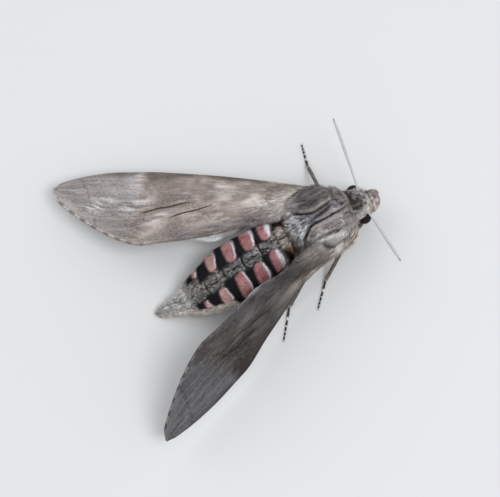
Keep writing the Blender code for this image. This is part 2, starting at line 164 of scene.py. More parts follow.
def cloud(points, size, seed):
    """Smooth random values, 0 to 1, that change over about size; size may differ by axis."""
    lattice = np.random.default_rng(seed).random((32, 32, 32))
    at = points / np.asarray(size, float) + 7.31
    low = np.floor(at).astype(int)
    part = at - low
    part = part * part * (3 - 2 * part)
    total = np.zeros(len(points))
    for corner in np.ndindex(2, 2, 2):
        weight = np.prod(np.where(corner, part, 1 - part), axis=1)
        i, j, k = ((low + corner) % 32).T
        total += weight * lattice[i, j, k]
    return np.clip(0.5 + 1.5 * (total - 0.5), 0, 1)


def tone(red, green, blue):
    """A display colour, 0 to 255, as the linear colour that a shader takes."""
    share = np.array([red, green, blue], float) / 255
    return np.where(share <= 0.04045, share / 12.92, ((share + 0.055) / 1.055) ** 2.4)


def layered(colour, *layers):
    """A colour with others laid over it in turn, each given with its share at every point.

    A colour is a display colour, as a tuple, or an array of linear ones.
    """
    if isinstance(colour, tuple):
        colour = tone(*colour)
    for other, share in layers:
        if isinstance(other, tuple):
            other = tone(*other)
        colour = colour + (other - colour) * np.asarray(share)[..., None]
    return colour


def gathered(rows):
    """Rows of arrays, joined into one array for each place in a row."""
    return [np.concatenate(kind) for kind in zip(*rows)]


def unit(vectors):
    return vectors / np.maximum(np.linalg.norm(vectors, axis=-1, keepdims=True), 1e-9)


# ---------------------------------------------------------------- placing in the frame

def thorax_middle():
    """The floor under the middle of the thorax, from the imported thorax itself."""
    low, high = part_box("thorax")
    return np.array([0.5 * (low.x + high.x), 0.5 * (low.y + high.y) - THORAX_MIDDLE_Y * MM, 0])


ORIGIN = thorax_middle()


def to_frame(points):
    return np.asarray(points, float) * MM + ORIGIN


def with_head(points):
    """Points of the straight body with the head turned about the upright line of the neck."""
    angle = np.radians(HEAD_TURN) * ramp(NECK_SPAN[1], NECK_SPAN[0], points[..., 1])
    x = points[..., 0] - NECK[0]
    y = points[..., 1] - NECK[1]
    turned = np.array(points, float)
    turned[..., 0] = NECK[0] + x * np.cos(angle) - y * np.sin(angle)
    turned[..., 1] = NECK[1] + x * np.sin(angle) + y * np.cos(angle)
    return turned


# ---------------------------------------------------------------- meshes

def new_object(name, data):
    ob = bpy.data.objects.new(name, data)
    bpy.context.scene.collection.objects.link(ob)
    return ob


def build_piece(name, shape, material, nodes=(), tints=None, maps=()):
    """A visible piece from a shape: points in moth millimetres, and arrays of faces.

    tints is a colour for each point, which the materials read as 'tint'; maps are the names of
    UV maps, each with a place for each point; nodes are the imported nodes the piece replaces.
    """
    points, faces = shape
    loops = np.concatenate([f.ravel() for f in faces]).astype(np.int32)
    sides = np.concatenate([np.full(len(f), f.shape[1]) for f in faces])
    mesh = bpy.data.meshes.new(name)
    mesh.vertices.add(len(points))
    mesh.vertices.foreach_set("co", to_frame(points).astype(np.float32).ravel())
    mesh.loops.add(len(loops))
    mesh.loops.foreach_set("vertex_index", loops)
    mesh.polygons.add(len(sides))
    mesh.polygons.foreach_set("loop_start", (np.cumsum(sides) - sides).astype(np.int32))
    mesh.update(calc_edges=True)
    mesh.validate()
    mesh.shade_smooth()
    mesh.materials.append(material)
    if tints is not None:
        layer = mesh.color_attributes.new("tint", "FLOAT_COLOR", "POINT")
        rgba = np.concatenate([np.clip(tints, 0, 1), np.ones((len(tints), 1))], axis=1)
        layer.data.foreach_set("color", rgba.astype(np.float32).ravel())
    corners = np.empty(len(mesh.loops), np.int32)
    mesh.loops.foreach_get("vertex_index", corners)
    for title, places in maps:
        layer = mesh.uv_layers.new(name=title)
        layer.uv.foreach_set("vector", places[corners].astype(np.float32).ravel())
    piece = new_object(name, mesh)
    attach(piece, "root")
    if nodes:
        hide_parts(*nodes)


def grid_faces(rows, columns, wrap):
    """Quads of a grid whose points run along the columns first; wrap closes each row."""
    row = np.arange(rows - 1)[:, None]
    col = np.arange(columns if wrap else columns - 1)[None, :]
    after = (col + 1) % columns
    corners = (row * columns + col, row * columns + after,
               (row + 1) * columns + after, (row + 1) * columns + col)
    return np.stack([np.broadcast_to(c, (rows - 1, col.size)) for c in corners], -1).reshape(-1, 4)


def closed_rings(rings):
    """Points and faces of a tube from rings of points, rows by sides by 3, with its ends shut."""
    rows, sides, _ = rings.shape
    points = np.concatenate([rings.reshape(-1, 3), rings[:1].mean(1), rings[-1:].mean(1)])
    near = np.arange(sides)
    far = near + (rows - 1) * sides
    first, last = rows * sides, rows * sides + 1
    caps = np.concatenate([
        np.stack([np.full(sides, first), np.roll(near, -1), near], 1),
        np.stack([np.full(sides, last), far, np.roll(far, -1)], 1),
    ])
    return points, [grid_faces(rows, sides, True), caps]


def with_ends(tints):
    """Tints of rings, and then of the two middle points that shut the tube's ends."""
    return np.concatenate([tints, tints[:1], tints[-1:]])


def joined(shapes):
    """Several closed shapes as one."""
    quads, triangles, start = [], [], 0
    for points, (grid, caps) in shapes:
        quads.append(grid + start)
        triangles.append(caps + start)
        start += len(points)
    return (np.concatenate([points for points, _ in shapes]),
            [np.concatenate(quads), np.concatenate(triangles)])


def smooth_path(points, count):
    """Points spaced evenly on a smooth curve through the given ones."""
    points = np.array(points, float)
    reach = np.concatenate([[0], np.cumsum(np.linalg.norm(np.diff(points, axis=0), axis=1))])
    fine = np.linspace(0, reach[-1], count)
    ends = np.concatenate([2 * points[:1] - points[1:2], points, 2 * points[-1:] - points[-2:-1]])
    k = np.clip(np.searchsorted(reach, fine, "right") - 1, 0, len(points) - 2)
    t = ((fine - reach[k]) / (reach[k + 1] - reach[k]))[:, None]
    a, b, c, d = (ends[k + i] for i in range(4))
    return 0.5 * (2 * b + (c - a) * t + (2 * a - 5 * b + 4 * c - d) * t ** 2
                  + (3 * b - a - 3 * c + d) * t ** 3)


def tube(path, radius, sides=16, flat=1):
    """Rings round a path; radius is one number for each point of the path."""
    ahead = unit(np.gradient(path, axis=0))
    side = np.empty_like(path)
    last = np.cross(ahead[0], UP)
    if np.linalg.norm(last) < 0.1:
        last = np.array([1, 0, 0])
    for k, way in enumerate(ahead):
        last = last - way * np.dot(last, way)
        last = last / np.linalg.norm(last)
        side[k] = last
    up = np.cross(side, ahead)
    turn = 2 * np.pi * np.arange(sides)[None, :, None] / sides
    out = side[:, None] * np.cos(turn) + up[:, None] * np.sin(turn) * flat
    return path[:, None] + out * radius[:, None, None]


def ball_grid(rows, columns, highest):
    """Points of a ball of radius 1, as rings, without its two poles."""
    height = np.radians(np.linspace(-highest, highest, rows))[:, None]
    turn = 2 * np.pi * np.arange(columns)[None, :] / columns
    return np.stack([np.cos(height) * np.cos(turn), np.cos(height) * np.sin(turn),
                     np.sin(height) + 0 * turn], -1)


# ---------------------------------------------------------------- the trunk's own shape

# Half width, height above and depth below the body's middle line, each along y
TRUNK = (
    (-11.6, 0.8, 0.8, 0.8), (-11.3, 1.75, 1.3, 1.4), (-10.9, 2.45, 1.8, 1.9),
    (-10.4, 2.95, 2.35, 2.4), (-9.5, 3.35, 2.85, 2.6), (-8.6, 3.35, 2.9, 2.6),
    (-7.9, 3.4, 2.7, 2.3), (-7.35, 3.4, 2.7, 2.2), (-6.95, 3.6, 3.05, 2.6), (-6.6, 4.05, 3.7, 3.4),
    (-6.2, 4.5, 4.25, 3.9), (-5.4, 4.95, 4.7, 4.2), (-4.35, 5.15, 4.75, 4.4),
    (-3, 5.65, 5.1, 4.9), (-0.5, 6.1, 5.3, 5.2), (2.6, 5.8, 5, 5), (5, 5.1, 4.4, 4.5),
    (6.35, 4.3, 3.7, 3.8), (6.9, 3.8, 3.35, 3.4), (7.6, 4.35, 3.8, 3.8), (9, 5.05, 4.4, 4.4),
    (12, 5.6, 4.87, 4.87), (15, 5.95, 5.18, 5.18), (18.5, 6.15, 5.35, 5.35),
    (22.3, 5.75, 5, 5), (25.8, 4.75, 4.13, 4.05), (30, 3.15, 2.74, 2.7),
    (33, 2, 1.74, 1.75))
TRUNK_ENDS = (((35.4, 1.2), (36.2, 0.75)), ((36, 1), (37, 0.75)), ((36, 0.85), (37, 0.65)))
HALF_WIDTH, TOP, UNDER = (curve(*((row[0], row[k]) for row in TRUNK), *ends)
                          for k, ends in enumerate(TRUNK_ENDS, 1))
TRUNK_START = -11.5
TAIL_END = 36.2
MIDDLE_HEIGHT = curve(
    (-11.3, 6.8), (-10.4, 7.1), (-9.5, 7.3), (-8.6, 7.4), (-7.35, 7.5), (-6.2, 7.9), (-5.4, 8),
    (5, 8), (7.1, 7.6), (9.3, 7.4), (13.1, 7.1), (17.2, 6.65), (21.5, 5.9), (25.6, 4.85),
    (29.5, 3.5), (33.3, 2), (37, 0.8))
BEND = curve((-9, 0.2), (-7.4, 0.12), (-6.2, 0), (7.1, 0), (13, -0.55), (18, -1.05),
             (22, -1.4), (26, -1.6), (30, -1.45), (33, -1.1), (35, -0.75), (37, -0.45))
COAT_DEPTH = curve(
    (-11.3, 0.25), (-8, 0.28), (-6.6, 0.4), (-4, 0.45), (5, 0.45), (8, 0.35),
    (12, 0.27), (26, 0.25), (33, 0.2), (37, 0.12))

PAD_CENTRE = (5.35, -0.6, 11.4)
PAD_RADII = (4.4, 5.2, 4.6)
PAD_THICKNESS = 0.95


def sections(y):
    """Half width, height above, depth below, middle x and middle z of the skin at y."""
    depth = COAT_DEPTH(y)
    return HALF_WIDTH(y) - depth, TOP(y) - depth, UNDER(y) - depth, BEND(y), MIDDLE_HEIGHT(y)


def around(points):
    """For points of the straight body: y, degrees round from the top, x from the middle."""
    y = points[:, 1]
    wide, top, under, x0, z0 = sections(y)
    x = points[:, 0] - x0
    z = points[:, 2] - z0
    tall = np.where(z > 0, top, under)
    return y, np.degrees(np.arctan2(x / wide, z / tall)), x


def trunk_rings(rows=300, columns=96):
    """Rings of the head, neck, thorax with its two shoulder pads, and abdomen."""
    y = np.linspace(TRUNK_START, TAIL_END, rows)[:, None]
    angle = 2 * np.pi * np.arange(columns)[None, :] / columns
    wide, top, under, x0, z0 = sections(y)
    out_x = np.sin(angle) + 0 * y
    out_z = np.cos(angle) + 0 * y
    x = x0 + wide * out_x
    z = z0 + np.where(out_z > 0, top, under) * out_z
    place = (abs(x), y + 0 * x, z)
    inside = 1 - sum((p - c) ** 2 / r ** 2 for p, c, r in zip(place, PAD_CENTRE, PAD_RADII))
    pad = PAD_THICKNESS * ramp(-0.02, 0.6, inside)
    return np.stack([x + pad * out_x, y + 0 * x, z + pad * out_z], -1)


def egg(centre, radii, lean):
    """Rings of an egg, leaning about the x axis by lean degrees."""
    x, y, z = np.moveaxis(ball_grid(24, 32, 88) * radii, -1, 0)
    c, s = cos(radians(lean)), sin(radians(lean))
    return np.stack([centre[0] + x, centre[1] + y * c - z * s, centre[2] + y * s + z * c], -1)


def remeshed(points, faces, voxel):
    """One even skin round overlapping closed shapes, as points and quads."""
    mesh = bpy.data.meshes.new("rough trunk")
    mesh.from_pydata(points.tolist(), [], [tuple(f) for kind in faces for f in kind.tolist()])
    rough = new_object("rough trunk", mesh)
    even = rough.modifiers.new("even skin", "REMESH")
    even.mode = "VOXEL"
    even.voxel_size = voxel
    shaped = rough.evaluated_get(bpy.context.evaluated_depsgraph_get())
    result = bpy.data.meshes.new_from_object(shaped)
    found = np.empty(len(result.vertices) * 3)
    result.vertices.foreach_get("co", found)
    corners = np.empty(len(result.loops), np.int32)
    result.loops.foreach_get("vertex_index", corners)
    bpy.data.objects.remove(rough)
    bpy.data.meshes.remove(mesh)
    bpy.data.meshes.remove(result)
    return found.reshape(-1, 3), corners.reshape(-1, 4)


def relaxed(points, quads, rounds):
    """Points drawn towards their neighbours, which rounds off the voxels' steps."""
    ends = np.concatenate([quads[:, [k, (k + 1) % 4]] for k in range(4)])
    ends = np.concatenate([ends, ends[:, ::-1]])
    count = np.bincount(ends[:, 0], minlength=len(points))[:, None]
    for share in (0.6, -0.45) * rounds:
        mean = np.stack([np.bincount(ends[:, 0], points[ends[:, 1], k], len(points))
                         for k in range(3)], 1) / count
        points = points + share * (mean - points)
    return points


def face_normals(points, quads):
    """A normal for each face, as long as twice its area."""
    a, b, c, d = (points[quads[:, k]] for k in range(4))
    return np.cross(c - a, d - b)


def vertex_normals(points, quads):
    normal = face_normals(points, quads)
    total = np.stack([np.bincount(quads.ravel(), np.repeat(normal[:, k], 4), len(points))
                      for k in range(3)], 1)
    return unit(total)


# ---------------------------------------------------------------- markings of the trunk

# Black lines on the thorax, as x along y: along the inner edges of the two shoulder pads
LEFT_LINE = curve((-5.27, 0.2), (-5, 0.85), (-4.62, 1.35), (-4.2, 1.72), (-3.74, 1.81),
                  (-2.7, 1.58), (-1.2, 1.32), (0, 1.1), (1, 1.2), (2.3, 1.67), (3.3, 2.2),
                  (4.4, 2.8))
RIGHT_LINE = curve((-4.5, -0.72), (-2, -0.92), (-0.3, -1.03), (1, -0.98), (2.2, -1.1),
                   (3, -1.5), (3.8, -2.08), (4.4, -2.58), (4.9, -3.2))
STREAK_LINE = curve((-3.6, 1.2), (-3.2, 1.08), (-1.7, 0.5), (-0.3, 0.08), (0.8, 0), (2.7, -0.33))
FLANK_LINE = curve((-3.5, -4.4), (-1.7, -4.28), (-0.4, -4.1), (0.8, -4.1))
# The pale line before the palps, and the dark crease behind the head, as y along x
FACE_LINE = curve((-3.1, -10.2), (-1.5, -10.45), (-0.5, -10.8), (0.8, -11.1), (1.4, -11.1),
                  (2.3, -10.65), (2.9, -10.1))
NAPE_LINE = curve((-2.1, -6.75), (-0.2, -7.2), (0.9, -7.7), (1.8, -7.6))
# Fine black dashes along the back, one behind each joint: start and end in y, and x
BACK_DASHES = ((11.6, 13, -0.45), (14.2, 16.5, -0.5), (18.4, 19.9, -0.35), (22.7, 25, -0.4),
               (26.6, 27.2, 0.1), (31.2, 33, 0.4))


def slope_of(line, y):
    """How far x moves along a line for each millimetre of y."""
    return (line(y + 0.1) - line(y - 0.1)) / 0.2


def from_line(line, y, x):
    """Distance from a line given as x along y."""
    return (x - line(y)) / np.sqrt(1 + slope_of(line, y) ** 2)


def run(line, y, x, width, start, end, soft, offset=0):
    """1 on a line, or offset to the left of it, from start to end in y, falling away over width."""
    return ridge(from_line(line, y, x) - offset, width) * window(start, end, y, soft)


def lobe_edges(lobe, angle):
    """Front and rear edge of a lobe at an angle, and how far inside its inner limit that is."""
    reach = abs(angle) - np.where(angle > 0, lobe.left, lobe.right)
    front = lobe.front_inner + (lobe.front_outer - lobe.front_inner) * ramp(0, 38, reach)
    return front, lobe.rear - 0.3 * ramp(20, 65, reach), reach


def lobe_low(y, angle):
    """Degrees from the top where the lobes end; the right flank shows more towards the tail."""
    return LOBE_LOW - LOBE_RISE * ramp(19.5, 23, y) * ramp(5, -5, angle)


def lobe_shares(y, angle, rough):
    """Shares of pink, of paleness in it, of white edge and of black on the abdomen."""
    wide = HALF_WIDTH(y)
    degree = np.radians(1) * wide
    pink, paleness, white, black = np.zeros((4, len(y)))
    y = y + LOBE_SKEW * np.sin(np.radians(angle)) * wide
    next_fronts = [lobe_edges(lobe, angle)[0] for lobe in LOBES[1:]] + [BLACK_END]
    for lobe, next_front in zip(LOBES, next_fronts):
        front, rear, reach = lobe_edges(lobe, angle)
        inward = reach * degree + 0.35 * (rough - 0.5)
        outward = (lobe_low(y, angle) - abs(angle)) * degree
        middle = 0.5 * (front + rear)
        half = 0.5 * (rear - front)
        corner = np.clip(1 - inward / (1.05 * half), 0, 1)
        foot = np.clip(1 - outward / (0.6 * half), 0, 1)
        squeeze = np.sqrt(np.clip(1 - 0.95 * corner ** 2.2 - 0.5 * foot ** 2, 0, 1))
        lens = half * squeeze - abs(y - middle)
        soft = np.where(y > middle, 0.3, 0.1)
        inside = ramp(-soft, soft, lens) * ramp(-0.1, 0.15, np.minimum(inward, outward))
        pink = np.maximum(pink, inside)
        paleness = np.where(inside > 0.01, 1 - lobe.pink, paleness)
        edge = lobe.white * ramp(-4, 26, reach)
        from_front = y - (middle - half * squeeze)
        white = np.maximum(white, inside * ramp(edge + 0.22, edge * 0.45, from_front)
                           * ramp(-2, 6, reach))
        behind = window(rear - 0.8, next_front, y, 0.1) * ramp(-0.55, 0.25, inward)
        behind = behind * ramp(-1.1, -0.5, outward)
        around_lobe = ramp(-0.75, -0.1, lens) * ramp(-0.5, 0.35, inward + 0.3) * (y > middle)
        black = np.maximum(black, np.maximum(behind, around_lobe) * (1 - inside))
    return pink, paleness, white, black


def back_tint(y, angle, x, fine, finer, broad):
    """The speckled grey saddle of the abdomen, its pale tail, dashes, and creases at the joints."""
    grey = layered(
        (122, 119, 120), ((104, 102, 104), ramp(14, 17, y)),
        ((112, 105, 90), 0.6 * ramp(13.5, 8, y) + 0.25 * (broad > 0.6)),
        ((124, 119, 103), 0.6 * window(21, 29.5, y, 2)),
        ((186, 184, 182), 0.75 * ramp(0.6, 0.74, finer)),
        ((24, 23, 28), 0.95 * ramp(0.42, 0.28, fine)))
    tail = ramp(28.6, 30.6, y + 0.6 * (fine - 0.5))
    tail_grey = layered(
        (172, 170, 168), ((226, 223, 218), 0.7 * ramp(0.45, 0.75, finer)),
        ((84, 84, 88), 0.65 * ramp(0.4, 0.18, fine)),
        ((220, 208, 192), 0.75 * ramp(38, 62, abs(angle))))
    colour = layered(grey, (tail_grey, tail))
    for start, end, place in BACK_DASHES:
        dash = ridge(x - place - 0.12 * np.sin(3.1 * y), 0.16) * window(start, end, y, 0.25)
        colour = layered(colour, ((26, 24, 28), 0.9 * dash))
    for joint in RING_JOINTS[1:]:
        behind = y - joint - 0.35 + 0.02 * abs(angle)
        lip = ridge(behind - 0.32, 0.11) * ramp(0.2, 0.6, finer)
        colour = layered(colour, ((22, 20, 24), 0.95 * ridge(behind, 0.2) * (1 - tail)),
                         ((186, 186, 190), 0.45 * lip * (1 - tail)))
    return colour


def abdomen_tint(points, y, angle, x):
    """Pink lobes set in black on each side of a speckled grey saddle, with pale flanks."""
    fine = cloud(points, 0.24, 11)
    finer = cloud(points, (0.2, 0.34, 0.2), 12)
    broad = cloud(points, 1.3, 13)
    pink, paleness, white, black = lobe_shares(y, angle, fine)
    rosy = layered(
        (154, 100, 103), ((184, 134, 136), ramp(0.1, 0.9, broad)),
        # Painted light: paler pink on the moth's right over the front lobes, where the light falls
        ((196, 150, 154), 0.45 * ramp(10, -10, angle) * ramp(13, 10, y)),
        ((136, 84, 88), 0.35 * ramp(0.45, 0.2, finer)), ((216, 180, 174), paleness))
    # Painted light: the pink is lighter on the moth's right and darker on its left, by how the
    # light falls
    rosy = rosy * (1 - 0.12 * np.clip(angle / 45, -0.6, 1))[:, None]
    # Flanks and belly: cream, with grey clouds and a row of small dark spots
    low = FLANK_TOP - (FLANK_TOP - lobe_low(y, angle)) * ramp(20, 23, y)
    flank = ramp(low - 3, low + 4, abs(angle) + 5 * (fine - 0.5))
    cream = layered((206, 198, 188), ((158, 150, 144), 0.6 * broad))
    # Painted light: the cream flank is lighter on the moth's right, where the light falls
    cream = cream * (1 + 0.16 * ramp(5, -5, angle))[:, None]
    spots = ridge(abs(angle) - 176, 9) * sum(ridge(y - j + 1.4, 0.3) for j in RING_JOINTS[1:5])
    cream = layered(cream, ((120, 112, 108), 0.4 * ramp(0.35, 0.15, fine)),
                    ((60, 54, 54), 0.8 * spots))
    return layered(
        back_tint(y, angle, x, fine, finer, broad), ((17, 15, 19), black), (rosy, pink),
        ((232, 230, 236), white), (cream, flank * ramp(8.6, 9.6, y)))


def waist_tint(points, y, angle, x):
    """The first ring: a brown tuft of two halves, black hollows beside it and a salmon spot."""
    fine = cloud(points, (0.17, 0.75, 0.3), 21)
    brown = layered(
        (116, 106, 99), ((206, 194, 184), 0.85 * ramp(0.4, 0.75, fine)),
        ((62, 52, 48), 0.7 * ramp(0.42, 0.2, fine)),
        ((52, 40, 38), 0.7 * ridge(x + 0.3, 0.22) * window(6.9, 9.3, y, 0.2)))
    salmon = ramp(0.62, 0.45, np.hypot(x + 2.95, 0.8 * (y - 7.3)) + 0.25 * (fine - 0.5))
    return layered(
        (26, 20, 22), ((110, 60, 46), 0.7 * ridge(x - 2.4, 0.5) * ridge(y - 6.9, 0.4)),
        (brown, ramp(2.9, 2.3, abs(x + 0.2) + 0.6 * abs(y - 8.2))), ((166, 108, 94), salmon),
        ((26, 22, 24), ridge(y - 9.45, 0.16) * ramp(60, 30, abs(angle))),
        ((170, 162, 154), ramp(95, 115, abs(angle))))


def along_lines(points, y, x):
    """The points with x measured from the black lines, so that streaks run beside them."""
    left, right = LEFT_LINE(y), RIGHT_LINE(y)
    between = 2.4 * (x - right) / (left - right)
    combed = points.copy()
    combed[:, 0] = np.where(x > left, 2.4 + x - left, np.where(x < right, x - right, between))
    return combed


def between_tint(combed, y, from_right, streaky, broad):
    """Between the lines: purplish grey at the front, blue grey and pale fanned hair behind."""
    strands = cloud(combed, (0.13, 1.3, 0.13), 37)
    rear = layered(
        (104, 104, 108), ((204, 203, 203), ramp(0.25, 0.75, strands)),
        ((60, 60, 66), 0.6 * ramp(0.34, 0.18, strands)),
        ((232, 232, 232), ramp(3.2, 4.6, y) * ramp(0.45, 0.7, strands)))
    rear = layered(rear, (0.72 * rear, ramp(3.6, 1.8, y)))
    pale_band = window(0.1, 0.85, from_right, 0.2) * ramp(1.5, -1, y)
    return layered((84, 76, 81), ((176, 168, 171), streaky),
                   ((194, 187, 186), 0.8 * pale_band * ramp(0.1, 0.5, broad + 0.2)),
                   (rear, ramp(0.6, 2.2, y)))


def collar_tint(y, x, streaky, broad):
    """Brownish locks, purple towards the left, cream at the front lip."""
    lip = ridge(y + 6.5 + 0.12 * x, 0.3) * ramp(0.15, 0.6, broad)
    return layered(
        (92, 84, 83), ((188, 178, 171), streaky),
        ((88, 72, 74), 0.6 * ridge(x - 2.6, 1.3) * ramp(0.25, 0.6, broad)),
        ((178, 166, 156), 0.6 * lip), ((190, 184, 178), 0.6 * ramp(-2.9, -3.9, x)))


def thorax_tint(points, y, angle, x):
    """Grey-brown fur with black lines inside the shoulder pads and pale bands beside them."""
    combed = along_lines(points, y, x)
    fine = cloud(combed, (0.3, 0.9, 0.3), 31)
    streaky = ramp(0.1, 0.9, 0.65 * cloud(combed, (0.42, 2.4, 0.42), 32)
                   + 0.35 * cloud(combed, (0.22, 1.2, 0.22), 36))
    broad = cloud(combed, (0.9, 2.2, 0.9), 33)
    from_left = from_line(LEFT_LINE, y, x)
    from_right = from_line(RIGHT_LINE, y, x)
    left_pad = ramp(0.1, 0.6, from_left)
    right_pad = ramp(-0.1, -0.6, from_right)
    colour = layered((76, 71, 72), ((164, 158, 156), streaky),
                     ((60, 53, 56), 0.55 * ramp(0.36, 0.12, fine)))
    colour = colour * (1 - 0.1 * left_pad)[:, None]
    # Pads: purplish clouds in the middle; the right one is paler and warmer, and the left one
    # has a pale rear rim, lightened further as painted light against the shade on the pad's steep
    # side
    purple = ridge(x - 3.1, 1.3) * ridge(y - 0.2, 2.3)
    purple = purple + 0.55 * ridge(x + 2.4, 0.9) * ridge(y + 1.4, 1.7)
    rear = np.maximum(left_pad, right_pad) * ramp(1.8, 4.8, y)
    rim = left_pad * ramp(3, 5.4, y + 0.9 * (x - 3.6) + 1.2 * (streaky - 0.5))
    between = ramp(0.05, -0.35, from_left) * ramp(-0.05, 0.35, from_right)
    broken = 0.6 + 0.4 * ramp(0.3, 0.6, cloud(points, 0.5, 34))
    streak = run(STREAK_LINE, y, x, 0.32, -3.4, 2.4, 0.5)
    second = run(STREAK_LINE, y, x, 0.17, -3.2, 0.6, 0.4, 0.6)
    # Cream bands outside the lines, then the lines themselves
    cream = run(LEFT_LINE, y, x, 0.24, -4, 2.8, 0.5, 0.5)
    cream = cream + 0.85 * run(RIGHT_LINE, y, x, 0.26, -4.2, 4.2, 0.5, -0.5)
    thick = 0.12 + 0.11 * ramp(-1.5, 3, y)
    left = run(LEFT_LINE, y, x, thick + 0.02, -5.25, 4.35, 0.12)
    right = run(RIGHT_LINE, y, x, thick + 0.07, -4.5, 4.9, 0.15)
    hook = dab(x - 0.28, 0.75 * (y + 5.2), 0.34)
    rear_spots = dab(abs(x) - 3.45, y - 5.9, 0.42)
    # Low on the moth's right pad: a white fringe with a short dark dash over it
    fringe = run(FLANK_LINE, y, x, 0.52, -3.4, 3.4, 0.5, -0.7)
    dash = run(FLANK_LINE, y, x, 0.16, -2.6, 0.6, 0.25)
    lip = ramp(5.7, 6.4, y) * ramp(0.3, 0.6, streaky)
    breast = layered((150, 142, 134), ((204, 196, 188), streaky))
    return layered(
        colour,
        ((204, 197, 193), 0.55 * right_pad * ramp(0.2, 0.6, streaky) + 0.25 * right_pad),
        ((78, 68, 72), 0.75 * np.clip(purple, 0, 1) * ramp(0.15, 0.5, broad)),
        ((168, 165, 163), 0.55 * rear * ramp(0.1, 0.6, streaky)), ((212, 207, 203), 0.85 * rim),
        (between_tint(combed, y, from_right, streaky, broad), between),
        ((36, 32, 38), 0.9 * streak * broken), ((52, 45, 52), 0.7 * second * broken),
        (collar_tint(y, x, streaky, broad), ramp(-4.4, -5.2, y)),
        ((204, 196, 188), 0.8 * np.clip(cream, 0, 1) * ramp(-0.1, 0.4, broad)),
        ((13, 11, 14), np.clip(1.25 * (left + right + hook + rear_spots), 0, 1)),
        ((228, 224, 219), 0.95 * fringe), ((22, 19, 21), 0.95 * dash),
        ((212, 196, 176), 0.75 * lip), (breast, ramp(88, 112, abs(angle))))


def head_tint(points, y, angle, x):
    """Mottled grey crown with a dark patch, pale brows, a cream line and pinkish palps."""
    fine = cloud(points, 0.3, 41)
    mottle = cloud(points, (0.45, 0.62, 0.45), 44)
    streaky = cloud(points, (0.28, 0.9, 0.28), 42)
    z = points[:, 2]
    over = ramp(85, 65, abs(angle))
    patch = ramp(1.25, 0.75, np.hypot((x + 0.6) / 1.2, (y + 8.35) / 1.15) + 0.7 * (fine - 0.5))
    from_eye = np.stack([abs(x), y, z], 1) - EYE_CENTRE
    eye = np.sqrt(np.sum(from_eye ** 2, axis=1))
    brow = np.where(x < 0, ramp(3.3, 2.3, eye), ramp(2, 1.65, eye))
    nape = ridge(y - NAPE_LINE(x), 0.42) * over * ramp(-3.2, -2.4, x)
    ahead = FACE_LINE(x) - y
    line = ridge(ahead, 0.22) * ramp(0.1, 0.4, streaky + 0.25)
    antenna_base = dab(abs(x) - 2.6, y + 10, 0.55) * (z > 8)
    palps = layered(
        (136, 122, 118), ((218, 207, 200), ramp(0.15, 0.85, mottle)),
        ((90, 74, 70), 0.6 * ramp(0.4, 0.2, fine)),
        ((92, 80, 76), 0.8 * dab(x - 1.2, y + 11.9, 0.75) * over),
        ((206, 198, 190), 0.6 * ramp(1.5, 2, abs(x - 0.1))))
    return layered(
        (94, 91, 92), ((190, 187, 187), ramp(0.2, 0.8, mottle)),
        ((56, 51, 56), 0.65 * ramp(0.4, 0.22, fine)), ((64, 56, 54), 0.75 * patch),
        ((128, 116, 110), 0.5 * patch * ramp(0.5, 0.75, mottle)),
        ((206, 200, 197), 0.85 * brow * ramp(-0.2, 0.35, streaky)),
        ((58, 40, 38), 0.85 * nape * ramp(0, 0.4, mottle + 0.1)),
        ((186, 178, 170), 0.8 * ramp(95, 125, abs(angle))), (palps, ramp(-0.05, 0.2, ahead)),
        ((216, 208, 200), 0.9 * line * over), ((222, 218, 216), 0.85 * antenna_base))


def trunk_tint(points):
    """Colour of skin and coat at points of the straight body."""
    y, angle, x = around(points)
    colour = np.zeros_like(points)
    plan = ((head_tint, ramp(-6.6, -6.9, y)),
            (thorax_tint, ramp(-7.15, -6.85, y) * ramp(6.8, 6.5, y)),
            (waist_tint, ramp(6.45, 6.75, y) * (y < 10)),
            (abdomen_tint, ramp(9.3, 9.7, y + 0.6 * ramp(15, 60, abs(angle)))))
    for tint, share in plan:
        use = share > 0
        if use.any():
            here = tint(points[use], y[use], angle[use], x[use])
            colour[use] = layered(colour[use], (here, share[use]))
    return colour


# Grooves along the lines of the thorax: depth, line, half width, start, end and soft ends
GROOVES = ((0.3, LEFT_LINE, 0.22, -5, 4.6, 0.3), (0.3, RIGHT_LINE, 0.24, -4.4, 5, 0.3),
           (0.12, STREAK_LINE, 0.25, -3, 2.6, 0.5), (0.14, FLANK_LINE, 0.25, -2.4, 0.6, 0.4))


def trunk_relief(points):
    """How far the skin stands in or out: grooves under the lines, ring steps, lobes, hollows."""
    y, angle, x = around(points)
    top = ramp(95, 75, abs(angle))
    relief = -0.22 * ridge(y - NAPE_LINE(x), 0.35) * top
    for depth, line, *extent in GROOVES:
        relief -= depth * run(line, y, x, *extent) * top
    for joint in RING_JOINTS:
        behind = y - joint
        relief += 0.09 * ramp(-2.2, -0.15, behind) * (behind < 0) * ramp(0.02, -0.1, behind)
        relief -= 0.13 * ramp(-0.08, 0.05, behind) * ramp(1.6, 0.1, behind)
    relief += 0.12 * lobe_shares(y, angle, 0.5)[0]
    hollow = ridge(abs(x + 0.1) - 3.3, 0.95) * ridge(y - 8.4, 0.75) * top
    lumps = ridge(abs(x + 0.3) - 1.05, 1.2) * ridge(y - 8.1, 1.25) * top
    return relief - 0.6 * hollow + 0.3 * lumps


def socketed(points):
    """The head's points, those inside an eye's ball pushed to its inner side."""
    points = points.copy()
    room = EYE_RADIUS + 0.03
    for side, _, centre in EYES:
        away = points - centre
        inside = np.linalg.norm(away, axis=1) < room
        low = np.hypot(away[inside, 1], away[inside, 2])
        points[inside, 0] = centre[0] - side * np.sqrt(room ** 2 - low ** 2)
    return points


Skin = namedtuple("Skin", "straight normals quads")


